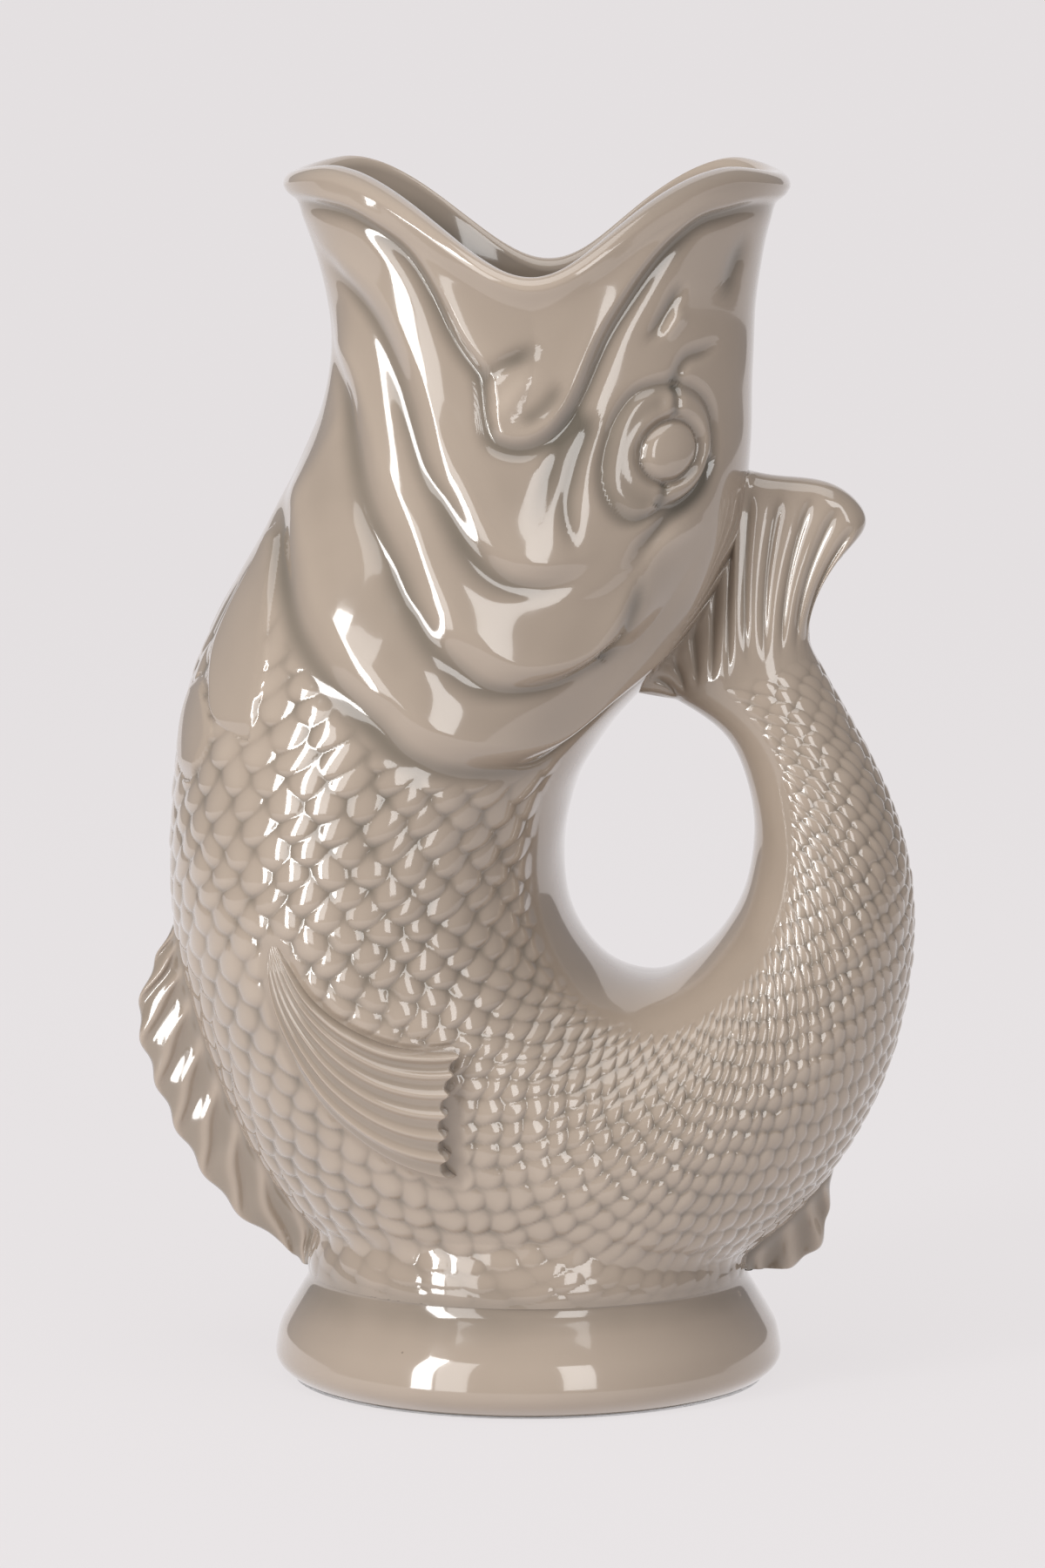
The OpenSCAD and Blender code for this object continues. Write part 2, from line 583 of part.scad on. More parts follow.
// A fluted fin in the mid plane: its root runs along the front of the skin between the two
// sections in ends, and depth_shares gives how far it stands out on the way, in percent of
// depth. It follows the cove and stays clear of the foot.
fin_seat = 2 * seat_gap;
module keel_fin(ends, depth, depth_shares, flutes) {
    steps = flutes * 4;
    cols = 3;
    curve = controls([for (d = depth_shares) [d, 0]]);
    function out(i) = depth * spline(curve, i / steps * (len(depth_shares) - 1))[0] / 100;
    function point(i, c, hand) = let (
        t = lerp(ends[0], ends[1], i / steps),
        s = c / cols,
        base = coved(skin(t, 180, fin_seat), fin_seat),
        tip = coved(skin(t, 180, fin_seat + max(rib_h, out(i))), fin_seat),
        swing = flute_h * s * sin(360 * i / 4))
        [lerp(base[0], tip[0], s), hand * lerp(fin_t, 0.7 * fin_t, s) / 2 + swing,
         max(lerp(base[2], tip[2], s), foot_h + fin_seat)];
    slab([for (i = [0:steps]) [for (c = [0:cols]) point(i, c, 1)]],
        [for (i = [0:steps]) [for (c = [0:cols]) point(i, c, -1)]]);
}
// Sections between which the two fins run, and how deep they are on the way, in percent
belly_fin_ends_shares = [9.35, 12.35];
belly_fin_depth_shares = [4, 35, 78, 100, 92, 84, 76, 66, 58, 50, 40, 22];
rear_fin_ends_shares = [14.95, 16];
rear_fin_depth_shares = [30, 70, 100, 90, 50, 6];
module belly_fin() {
    color("#b8a895")
    keel_fin(belly_fin_ends_shares, belly_fin_depth, belly_fin_depth_shares, 9);
}
module rear_fin() {
    color("#b8a895")
    keel_fin(rear_fin_ends_shares, rear_fin_depth, rear_fin_depth_shares, 4);
}

foot_ring();
cove_ring();
belly_shell();
shoulder_shell();
tail_bend();
tail_handle();
tail_fin();
gill_cover();
cheek_plate();
face_shell();
lip_rim();
eye_left();
eye_right();
eyelid_left();
eyelid_right();
throat_folds_left();
throat_folds_right();
side_fin_left();
side_fin_right();
belly_fin();
rear_fin();
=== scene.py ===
"""Glazed fish jug, built as the mould maker would draw it: one skin swept along the fish, with its
relief laid on in millimetres, cut into the shells that the casting shows, and the foot and fins
that are luted on it."""

import bpy
import numpy as np
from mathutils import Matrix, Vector


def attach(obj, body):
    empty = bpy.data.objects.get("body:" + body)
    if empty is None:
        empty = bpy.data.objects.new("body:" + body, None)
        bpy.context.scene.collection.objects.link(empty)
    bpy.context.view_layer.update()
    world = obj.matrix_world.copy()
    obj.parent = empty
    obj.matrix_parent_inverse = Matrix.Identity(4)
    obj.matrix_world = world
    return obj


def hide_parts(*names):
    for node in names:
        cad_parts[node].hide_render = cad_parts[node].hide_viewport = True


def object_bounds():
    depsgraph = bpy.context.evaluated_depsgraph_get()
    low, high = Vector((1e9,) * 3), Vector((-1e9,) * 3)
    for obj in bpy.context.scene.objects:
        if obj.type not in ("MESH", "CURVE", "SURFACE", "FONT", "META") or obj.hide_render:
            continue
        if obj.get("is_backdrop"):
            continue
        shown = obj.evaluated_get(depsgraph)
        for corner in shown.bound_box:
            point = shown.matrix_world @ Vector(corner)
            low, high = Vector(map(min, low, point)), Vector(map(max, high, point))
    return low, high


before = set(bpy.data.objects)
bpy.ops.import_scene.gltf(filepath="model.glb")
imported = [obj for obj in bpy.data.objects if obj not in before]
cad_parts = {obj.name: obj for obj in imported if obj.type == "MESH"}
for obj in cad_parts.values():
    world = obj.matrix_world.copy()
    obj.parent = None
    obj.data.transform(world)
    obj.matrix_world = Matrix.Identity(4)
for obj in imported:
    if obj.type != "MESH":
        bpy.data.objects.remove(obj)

bl_info = {
    "name": "Glazed Fish Jug",
    "version": (1, 0, 0),
    "blender": (4, 5, 0),
    "location": "View3D > Sidebar > Jug",
    "description": "Builds a glazed earthenware jug in the shape of a fish from swept surfaces",
    "category": "Add Mesh",
}

# The skin

# Sections of the skin in millimetres: front x, front z, back x, back z, half width
SECTIONS = np.array([
    (-50.4, 254.0, 56.9, 254.0, 36.0), (-44.7, 238.0, 50.3, 238.0, 33.5),
    (-39.4, 222.0, 47.2, 222.0, 32.5), (-39.0, 204.9, 46.5, 204.9, 33.5),
    (-45.0, 188.5, 46.0, 188.9, 36.5), (-54.0, 170.9, 43.5, 170.9, 40.5),
    (-63.3, 153.6, 34.2, 153.6, 44.0), (-69.0, 136.0, 20.5, 137.8, 47.0),
    (-70.8, 118.0, 11.0, 123.2, 49.0), (-71.0, 100.0, 8.4, 107.5, 50.0),
    (-67.4, 80.0, 10.2, 95.6, 50.0), (-59.0, 56.4, 17.0, 86.3, 49.7),
    (-44.0, 33.0, 24.4, 83.2, 48.5), (-15.0, 11.0, 29.6, 83.6, 46.0),
    (20.0, 11.0, 34.3, 86.3, 42.5), (46.0, 26.0, 39.1, 90.4, 37.0),
    (64.0, 44.5, 43.3, 96.0, 30.5), (75.1, 66.1, 46.3, 103.6, 25.0),
    (79.2, 89.0, 47.5, 111.7, 20.5), (78.1, 107.5, 46.8, 119.8, 17.0),
    (73.0, 123.0, 44.5, 127.7, 14.5), (66.1, 136.5, 40.2, 134.0, 12.5),
    (59.1, 149.1, 31.6, 139.6, 11.0), (54.0, 159.9, 22.0, 145.0, 9.5)])
WALL = 5.0
COLUMNS = 448
# Points that are compared with a line at a time
PORTION = 20000
# From this section on the line of the lips is too far off to be felt
LIPS_END = 5.6
# Only from this section on the body can touch the foot
LOW_START = 9
# Sections where the shells of the body meet, down to the root of the tail fin
SHOULDER_END, UPPER_END, MIDDLE_END, BELLY_END, BEND_END, TAIL_END = 9.2, 11.2, 13.2, 16.2, 19.2, 22
# Section where the air chamber in the tail ends
CHAMBER_END = 20.9
# Tone painted on the lining: painted shade inside the jug, where little light reaches
LINING_SHADE = -1.1
# The foot stands round this upright axis, and the body meets it at this height
AXIS_X = 1.2
SEAM_Z = 21.75
# The body's flat underside, a hair over the seam, and the height of the hollow under the foot
SEAM_TOP = SEAM_Z + 0.003
HOLLOW = 5.0
# Outside of the foot and of the cove over it: height, radius
FOOT_PROFILE = np.array([
    (0.0, 46.6), (0.4, 47.9), (1.2, 49.4), (2.6, 51.0), (4.4, 51.9), (6.8, 51.8), (9.0, 51.4),
    (11.0, 50.75), (12.6, 49.9), (14.5, 48.8), (16.5, 47.6), (18.5, 46.4), (19.8, 45.65),
    (20.7, 45.3), (21.75, 45.15), (23.5, 45.05), (26.0, 44.75), (29.0, 44.0),
    (33.0, 42.8), (38.0, 41.0), (46.0, 37.0)])


def length(v):
    return np.linalg.norm(v, axis=-1)


def unit(v):
    """Vectors brought to length 1."""
    return v / np.maximum(length(v), 1e-9)[..., None]


def spline_controls(points):
    """Control points of the uniform cubic B-spline that passes by the given points."""
    p = np.vstack([2 * points[:1] - points[1:2], points, 2 * points[-1:] - points[-2:-1]])
    c = (8 * p[1:-1] - p[:-2] - p[2:]) / 6
    return np.vstack([2 * c[:1] - c[1:2], c, 2 * c[-1:] - c[-2:-1]])


def spline_at(controls, t):
    """Value and slope of the B-spline at t: each control weighs in by its cubic basis."""
    i = np.clip(np.floor(t).astype(int), 0, len(controls) - 4)
    u = (t - i)[..., None]
    v = 1 - u
    value = (v ** 3 * controls[i] + (3 * u ** 3 - 6 * u * u + 4) * controls[i + 1]
             + (3 * v ** 3 - 6 * v * v + 4) * controls[i + 2] + u ** 3 * controls[i + 3]) / 6
    slope = (-v * v * controls[i] + (3 * u * u - 4 * u) * controls[i + 1]
             - (3 * v * v - 4 * v) * controls[i + 2] + u * u * controls[i + 3]) / 2
    return value, slope


SKIN = spline_controls(SECTIONS)


def halves(s):
    """Middle of a section and the way from there to its back, both in x and z."""
    return (s[..., 0:2] + s[..., 2:4]) / 2, (s[..., 2:4] - s[..., 0:2]) / 2


def skin(t, a):
    """The bare skin at section t, a degrees round from the back: an ellipse between the front and
    the back of the section. Returns the point, the outward normal, and the millimetres that one
    section and one degree are long there."""
    s, d = spline_at(SKIN, t)
    cos, sin = np.cos(np.radians(a)), np.sin(np.radians(a))
    (mid, half), (dmid, dhalf) = halves(s), halves(d)
    xz = mid + half * cos[..., None]
    p = np.stack([xz[..., 0], -s[..., 4] * sin, xz[..., 1]], -1)
    dt = dmid + dhalf * cos[..., None]
    pt = np.stack([dt[..., 0], -d[..., 4] * sin, dt[..., 1]], -1)
    pa = np.stack([-half[..., 0] * sin, -s[..., 4] * cos, -half[..., 1] * sin], -1)
    return p, unit(np.cross(pa, pt)), length(pt), length(pa) * np.pi / 180


def lining(t, a, inset):
    """The inside of the wall: the section drawn in by inset all round."""
    s, _ = spline_at(SKIN, t)
    mid, half = halves(s)
    reach = length(half)
    xz = mid + half * ((reach - inset) / reach * np.cos(np.radians(a)))[..., None]
    return np.stack([xz[..., 0], -(s[..., 4] - inset) * np.sin(np.radians(a)), xz[..., 1]], -1)


# Curves and masks

def smooth(x):
    """Soft step from 0 to 1."""
    x = np.clip(x, 0, 1)
    return x * x * (3 - 2 * x)


def bell(x):
    """Bell curve of height 1."""
    return np.exp(-x * x)


def quarter(x):
    """Quarter of a circle: rises from 0 to 1, steeply at first."""
    return np.sqrt(np.clip(1 - (1 - np.clip(x, 0, 1)) ** 2, 0, 1))


def natural(knots, values):
    """Natural cubic spline through the knots: a function that gives its value and its slope."""
    knots, values = np.asarray(knots, float), np.asarray(values, float)
    n = len(knots)
    h = np.diff(knots)
    m = np.eye(n)
    r = np.zeros((n,) + values.shape[1:])
    i = np.arange(1, n - 1)
    m[i, i - 1], m[i, i], m[i, i + 1] = h[:-1], 2 * (h[:-1] + h[1:]), h[1:]
    step = np.diff(values, axis=0) / h.reshape((-1,) + (1,) * (values.ndim - 1))
    r[1:-1] = 6 * (step[1:] - step[:-1])
    bend = np.linalg.solve(m, r)

    def at(x):
        x = np.clip(np.asarray(x, float), knots[0], knots[-1])
        k = np.clip(np.searchsorted(knots, x) - 1, 0, n - 2)
        shape = x.shape + (1,) * (values.ndim - 1)
        w = h[k].reshape(shape)
        a = ((knots[k + 1] - x).reshape(shape)) / w
        b = 1 - a
        value = a * values[k] + b * values[k + 1] + (
            (a ** 3 - a) * bend[k] + (b ** 3 - b) * bend[k + 1]) * w * w / 6
        slope = (values[k + 1] - values[k]) / w + (
            (1 - 3 * a * a) * bend[k] + (3 * b * b - 1) * bend[k + 1]) * w / 6
        return value, slope
    return at


def edge_curve(table):
    """Edge on the skin from (degrees round, section) pairs, level where it crosses the middle."""
    a, t = np.array(table, float).T
    a = np.concatenate([-a[2:0:-1], a, 360 - a[-2:-4:-1]])
    t = np.concatenate([t[2:0:-1], t, t[-2:-4:-1]])
    return natural(a, t)


LIP = edge_curve([(0, 0.87), (20, 0.86), (30, 0.88), (37.5, 0.94), (45, 1.04), (50, 1.22),
                  (55.3, 1.47), (60, 1.75), (64.7, 2.06), (69.3, 2.38), (73, 2.74), (76.7, 3.17),
                  (80.7, 3.5), (84.7, 3.67), (90, 3.74), (95, 3.7), (98.7, 3.56), (101.3, 3.28),
                  (103.2, 2.98), (106, 2.76), (110, 2.55), (112.5, 2.38), (115.6, 2.08),
                  (118.9, 1.73), (122, 1.47), (127.8, 1.2), (135.6, 0.97), (143, 0.88), (150, 0.85),
                  (165, 0.84), (180, 0.84)])
FACE = edge_curve([(0, 5.0), (30, 5.05), (60, 5.15), (67.5, 5.24), (75, 5.28), (82.5, 5.22),
                   (90, 5.03), (97.5, 4.72), (105, 4.36), (112.5, 4.0), (120, 3.52), (127.5, 2.98),
                   (135, 2.42), (142.5, 2.02), (150, 1.78), (165, 1.63), (180, 1.6)])
CHEEK = edge_curve([(0, 5.62), (30, 5.85), (45, 6.15), (52.5, 6.38), (60, 6.47), (67.5, 6.48),
                    (75, 6.39), (82.5, 6.21), (90, 5.98), (97.5, 5.68), (105, 5.34), (112.5, 4.98),
                    (120, 4.65), (127.5, 4.32), (135, 3.95), (142.5, 3.57), (150, 3.22),
                    (157.5, 3.0), (165, 2.88), (180, 2.8)])
GILL = edge_curve([(0, 6.2), (15, 6.35), (22.5, 6.62), (30, 7.02), (36.7, 7.36), (43, 7.5),
                   (50, 7.53), (57.8, 7.52), (65.6, 7.48), (71, 7.43), (76.7, 7.35), (82, 7.25),
                   (87.8, 7.09), (93.3, 6.91), (98.9, 6.75), (104.4, 6.59), (110, 6.43),
                   (115.6, 6.25), (121, 6.07), (126.7, 5.87), (132.2, 5.65), (137.8, 5.42),
                   (143.3, 5.2), (148.9, 4.99), (154, 4.82), (165.6, 4.62), (180, 4.55)])


def rim_section(a):
    """Section of the rim of the mouth, a degrees round: high at the two tips, dipping between."""
    u = np.abs(np.cos(np.radians(a)))
    dip = np.cos(np.pi / 2 * np.minimum(1, u / 0.84)) ** 2
    return 0.36 + 1.36 * dip + 0.12 * np.maximum(0, 4 * u - 3) ** 2


def across(edge, t, a, per_t, per_a):
    """Signed distance in millimetres from an edge, below it positive, measured square to it."""
    e, slope = edge(a)
    return (t - e) * per_t / np.sqrt(1 + (slope * per_t / per_a) ** 2)


def nearest(points, q):
    """Number of the nearest of points to each of q, and its squared distance, worked out in
    portions to save memory."""
    best = np.empty(len(q), int)
    for k in range(0, len(q), PORTION):
        best[k:k + PORTION] = ((points ** 2).sum(-1) - 2 * q[k:k + PORTION] @ points.T).argmin(1)
    return best, ((q - points[best]) ** 2).sum(-1)


def distance_to(edge, p, t, a):
    """Signed distance in millimetres from an edge that runs steeply: the distance in space to the
    nearest of its points, below it positive. Far from the lips it is only a large number."""
    turn = np.linspace(-4, 184, 471)
    near = t < LIPS_END
    d = np.full(t.shape, 60.0)
    d[near] = np.sqrt(nearest(skin(edge(turn)[0], turn)[0], p[near])[1])
    return d * np.sign(t - edge(a)[0])


class Line:
    """A line on the skin through (degrees round, section) pairs, kept as points 0.3 mm apart. It
    fades in and out over two shares of its length."""

    def __init__(self, points, depth, width, fade):
        pts = np.array(points, float)
        run = np.concatenate([[0], np.cumsum(np.hypot(*(np.diff(pts, axis=0) * (0.75, 18)).T))])
        s = np.linspace(0, run[-1], max(8, int(run[-1] / 0.3)))
        q, _ = natural(run, pts)(s)
        self.points = skin(q[:, 1], q[:, 0])[0]
        w = s / run[-1]
        self.strength = smooth((w + 0.02) / fade[0]) * smooth((1.02 - w) / fade[1])
        self.depth, self.width = depth, width

    def cut(self, p):
        """How strongly the line is felt at each point: its strength times a bell curve of the
        distance to it."""
        reach = 2.6 * self.width
        low, high = self.points.min(0) - reach, self.points.max(0) + reach
        near = ((p > low) & (p < high)).all(-1)
        best, square = nearest(self.points, p[near])
        out = np.zeros(p.shape[:-1])
        out[near] = self.strength[best] * np.exp(-square / self.width ** 2)
        return out


# Grooves (positive depth) and ridges (negative) of the head, as lines on the skin
LINES = [
    # end of the upper jaw: its upper edge, inner groove and inner ridge
    Line([(102.6, 3.0), (101.3, 2.86), (98, 2.72), (94.7, 2.65), (90.7, 2.55), (87.3, 2.42)],
         0.75, 1.9, (0.3, 0.45)),
    Line([(87.6, 2.72), (91.2, 2.9), (94.2, 3.08), (96.4, 3.26), (97, 3.44)], -0.45, 2.2, (0.4, 0.4)),
    Line([(81.3, 2.83), (84, 3.12), (88, 3.33), (92.7, 3.47)], 0.5, 1.9, (0.4, 0.3)),
    # leaf under the eye
    Line([(72.7, 3.21), (73.3, 3.5), (74.7, 3.77), (75.3, 4.08), (75, 4.35), (73.3, 4.58),
          (70, 4.85), (66.7, 5.06)], 0.6, 2.1, (0.2, 0.4)),
    Line([(72.7, 3.21), (76, 3.38), (78.7, 3.58), (80.3, 3.85), (80.7, 4.12), (80.3, 4.46),
          (79.3, 4.77)], 0.5, 2.2, (0.2, 0.5)),
    # nostril, brow and the wide groove behind it
    Line([(46.7, 1.73), (50, 1.96), (53.3, 2.19), (56.7, 2.38), (60.7, 2.54)], 0.8, 1.5,
         (0.35, 0.5)),
    Line([(46.3, 2.05), (50, 2.27), (54, 2.43)], -0.45, 1.6, (0.4, 0.4)),
    Line([(30, 2.48), (34.7, 2.56), (40, 2.62), (44.7, 2.67), (47.3, 2.79), (48.5, 2.95)],
         0.75, 1.6, (0.5, 0.05)),
    Line([(21, 1.2), (25, 1.4), (28, 1.7), (30.5, 2.1)], 0.6, 2.6, (0.4, 0.4)),
    # slits of the eye and its tail
    Line([(48.4, 2.98), (48.2, 3.15), (48.2, 3.36)], 0.6, 1.1, (0.1, 0.1)),
    Line([(48.6, 4.16), (49.2, 4.28), (50.5, 4.42)], 0.6, 1.1, (0.1, 0.1)),
    Line([(32.0, 3.85), (32.7, 4.02), (34.5, 4.22), (38, 4.37), (42, 4.47), (46, 4.57), (49, 4.72),
          (51.5, 4.87), (52.8, 5.05), (53, 5.2)], 0.9, 1.7, (0.1, 0.4)),
    Line([(33, 4.55), (38, 4.68), (43, 4.78), (47, 4.93), (49, 5.12)], -0.5, 2.2, (0.5, 0.5)),
    # the hook of the gill line behind the eye
    Line([(46.3, 6.14), (45.6, 5.86), (46.6, 5.55), (48, 5.3), (51, 5.1)], 0.8, 2.0, (0.05, 0.5)),
]
# Leaf-shaped folds of the throat: section, degrees round where the leaf starts and where it ends
THROAT_UPPER = np.array([
    (4.66, 160.5, 164.0), (4.85, 154.5, 162.8), (5.1, 149.0, 162.2), (5.45, 142.6, 162.0),
    (5.8, 137.2, 162.0), (6.1, 132.6, 161.0), (6.4, 129.4, 156.0), (6.7, 128.0, 150.0),
    (6.9, 127.5, 143.8), (7.08, 128.0, 131.0)])
THROAT_LOWER = np.array([
    (6.45, 161.0, 163.5), (6.75, 149.5, 168.0), (6.9, 145.2, 169.0), (7.08, 142.4, 169.0),
    (7.28, 144.0, 166.0), (7.48, 147.0, 162.0), (7.64, 151.0, 156.5)])
# Middle of the eye and half sizes of its iris, in sections and degrees round, then its outline
EYE_T, EYE_A, IRIS_T, IRIS_A = 3.77, 48.3, 0.34, 8.7
EYE_OUTLINE = [(32, 3.75), (33, 3.5), (35.5, 3.27), (39, 3.12), (43, 3.03), (48, 2.98), (56, 2.99),
               (60, 3.05), (64, 3.22), (66.5, 3.45), (67.5, 3.75), (67, 4.05), (64.5, 4.3),
               (60.5, 4.48), (56, 4.56), (52.5, 4.53), (49, 4.45), (44, 4.4), (38, 4.28),
               (34, 4.08)]


def outline_reach():
    """Reach of the eye's outline from the iris, in iris radii, by direction."""
    p = np.array(EYE_OUTLINE)
    x, y = (p[:, 0] - EYE_A) / IRIS_A, (p[:, 1] - EYE_T) / IRIS_T
    turn, reach = np.arctan2(y, x), np.hypot(x, y)
    k = np.argsort(turn)
    turn, reach = turn[k], reach[k]
    turn = np.concatenate([turn - 2 * np.pi, turn, turn + 2 * np.pi])
    return natural(turn, np.tile(reach, 3))


EYE_REACH = outline_reach()


def plate(d, step, run, round_off):
    """Height of a plate d millimetres below its edge (negative is on the plate): it swells over
    run towards its edge and rolls over within round_off."""
    back = np.clip(-d, 0, None)
    return step * smooth(1 - back / run) ** 0.8 * smooth(back / round_off)


# Rows of scales: section, sections per row, degrees per scale
SCALE_T = np.array([6.0, 7.5, 8.5, 10.0, 11.5, 13.0, 15.0, 17.0, 18.5, 20.0, 22.5])
SCALE_ROW = np.array([0.29, 0.28, 0.27, 0.245, 0.19, 0.165, 0.155, 0.155, 0.17, 0.20, 0.23])
SCALE_PITCH = np.array([12.0, 12.0, 11.8, 10.8, 9.6, 8.5, 8.2, 11.5, 14.5, 18.5, 24.0])
FINE_T = np.linspace(6, 22.5, 1651)
FINE_ROW = np.concatenate([[0], np.cumsum(0.01 / np.interp(
    (FINE_T[1:] + FINE_T[:-1]) / 2, SCALE_T, SCALE_ROW))])
PITCH = natural(SCALE_T, SCALE_PITCH)
# Where the scales begin, in degrees round, by section: the skin round the finger hole is plain
BARE_BACK = natural([6, 7.8, 10.5, 11.5, 13, 14, 15, 16.5, 18, 19.5, 21, 22.5],
                    [29, 29, 30, 33, 37, 41, 45, 52, 58, 63, 67, 69])
SCALE_MIDDLE = natural([6, 9, 12, 14, 16, 18, 20, 22.5], [104, 108, 112, 114, 117, 120, 122, 124])


def one_scale(row, col, k, side):
    """Height of a scale of row k, the nearest one (side 0) or its neighbour (side 1): a dome with a
    long root and a short steep tip. Scales differ a little in height and place."""
    shift = col + 0.5 * np.mod(k, 2)
    number = np.floor(shift)
    if side:
        number = number + np.where(shift - number > 0.5, 1, -1)
    chance = np.modf(np.abs(np.sin(12.9898 * k + 78.233 * number)) * 43758.5453)[0]
    w = 2 * (shift - number - 0.5) + 0.16 * (chance - 0.5)
    v = row - k - 0.62 + 0.14 * (np.modf(chance * 57.3)[0] - 0.5)
    long = np.where(v > 0, 0.56, 1.3)
    return (0.88 + 0.24 * chance) - w * w / 1.1 - (v / long) ** 2


def scales(t, a, per_t, per_a):
    """Scales laid in rows of constant section, each row half a scale off the next. Where domes
    meet, a soft maximum of their heights rounds the valley. Returns height and tone."""
    row = np.interp(t, FINE_T, FINE_ROW)
    spacing = np.interp(t, SCALE_T, SCALE_ROW)
    pitch, middle = PITCH(t)[0], SCALE_MIDDLE(t)[0]
    mm_row, mm_col = per_t * spacing, per_a * pitch
    col = (a - middle) / pitch
    # towards the belly fin the rows are closer
    row = row + 1.2 * smooth((a - 112) / 50) * smooth((t - 8.8) / 4.2)
    # rows wander a little, as in a hand-cut model
    row = row + 0.09 * np.sin(col * 1.7 + row * 0.9) + 0.05 * np.sin(col * 3.1 - row * 2.3)
    col = col + 0.07 * np.sin(row * 2.1 + col * 0.6)
    k = np.floor(row)
    total, first, second = np.zeros_like(t), np.full_like(t, -9.0), np.full_like(t, -9.0)
    for step in (-1, 0, 1):
        for side in (0, 1):
            dome = one_scale(row, col, k + step, side)
            total += np.exp(5 * dome)
            second = np.maximum(second, np.minimum(first, dome))
            first = np.maximum(first, dome)
    # a groove runs round every scale, where the two highest domes are level
    groove = bell((first - second) / 0.36)
    height = np.log(total) / 5 - 0.12 * groove
    size = np.clip(np.sqrt(mm_row * mm_col) / 5.2, 0.35, 1.2) * (0.6 + 0.4 * smooth((t - 7) / 3.5))
    # tone: thin and pooled glaze, with painted light on the domes and painted shade in the grooves
    return 0.82 * size * (height - 0.1), 1.1 * (height - 0.6) - 0.15 * groove


def leaf(t, a, table, rise):
    """A leaf-shaped fold: crowned across, with rounded ends. Returns its height and how far inside
    it a point lies."""
    low, high = (natural(table[:, 0], table[:, k])(t)[0] for k in (1, 2))
    along = np.minimum(t - table[0, 0], table[-1, 0] - t) * 17
    s = np.clip((a - low) / np.maximum(high - low, 0.5), 0, 1)
    crown = 1 - (2 * s - 1) ** 2
    height = rise * np.sqrt(smooth(crown * 2.0)) * smooth(along / 4 + 0.02)
    return height, smooth(crown * 3) * (along > 0)


# Upper and lower edge of the side fin as (section, degrees round)
FIN_UPPER = natural(*np.array([
    (9.25, 114), (9.63, 110), (10.03, 106.3), (10.32, 101), (10.65, 92), (10.87, 83),
    (11.02, 74.8), (11.27, 79), (11.62, 84.4), (11.97, 90), (12.22, 95.7), (12.47, 100.7)]).T)
FIN_LOWER = natural(*np.array([
    (9.25, 115), (9.72, 118), (10.3, 119), (10.6, 118.5), (10.97, 117), (11.25, 115),
    (11.55, 112), (11.85, 109), (12.15, 104.9), (12.47, 100.7)]).T)


def side_fin_inside(t, a):
    """How deep inside the outline of the side fin a point lies, as a soft mask."""
    high = smooth((a - FIN_UPPER(t)[0] + 3.5) / 3.5)
    low = smooth((FIN_LOWER(t)[0] + 3.0 - a) / 3.0)
    return high * low * smooth((t - 9.25) / 0.25) * smooth((12.47 - t) / 0.12)


def plates_relief(t, a, per_t, per_a):
    """The three plates of the head, each over the next: glaze thins on their swell and pools along
    their edge. The tone paints the swell paler, for thin glaze and as painted light, and the edge
    darker, for pooled glaze and as painted shade."""
    h, tone = np.zeros_like(t), np.zeros_like(t)
    for edge, step, run, roll, fade, pool in (
            (FACE, 2.1, 20, 6.0, smooth((a - 60) / 22) * smooth((166 - a) / 26), 0.6),
            (CHEEK, 2.6, 21, 7.0, smooth((a - 34) / 18) * smooth((170 - a) / 24), 0.7),
            (GILL, 2.8, 24, 7.5, smooth((a - 6) / 22) * smooth((172 - a) / 24), 0.5)):
        d = across(edge, t, a, per_t, per_a)
        h += fade * (plate(d, step, run, roll) - pool * bell((d - 0.6) / 2.4))
        tone += fade * (0.3 * bell((d + 6) / 3.5) - 0.8 * bell((d - 0.3) / 2.2))
    return h, tone


def lips_relief(p, t, a, rim):
    """The lips: a plate that rolls over at the lip line, with a bead along the rim."""
    d = distance_to(LIP, p, t, a)
    fade = 0.45 + 0.55 * smooth((a - 14) / 25) * smooth((166 - a) / 25)
    h = fade * (plate(d, 1.5, 16, 3.2) - 0.75 * bell((d - 0.2) / 1.9)) * smooth((rim - 0.5) / 5)
    # tone: lip swell and rim paler, lip line darker: thin and pooled glaze, with painted light and
    # painted shade
    tone = fade * (0.3 * bell((d + 4) / 2.5) - 0.9 * bell(d / 1.8)) * smooth(rim / 6)
    return h + 1.35 * bell(np.maximum(rim - 1.2, 0) / 3.4) + 0.25, tone + 0.5 * bell(rim / 1.6)


def lines_relief(p):
    """The grooves and ridges of the face."""
    h, tone = np.zeros(p.shape[:-1]), np.zeros(p.shape[:-1])
    for line in LINES:
        c = line.cut(p)
        h -= line.depth * c
        # grooves are painted darker and ridges paler: pooled and thin glaze, with painted shade and
        # painted light
        tone -= 0.9 * np.sign(line.depth) * c
    return h, tone


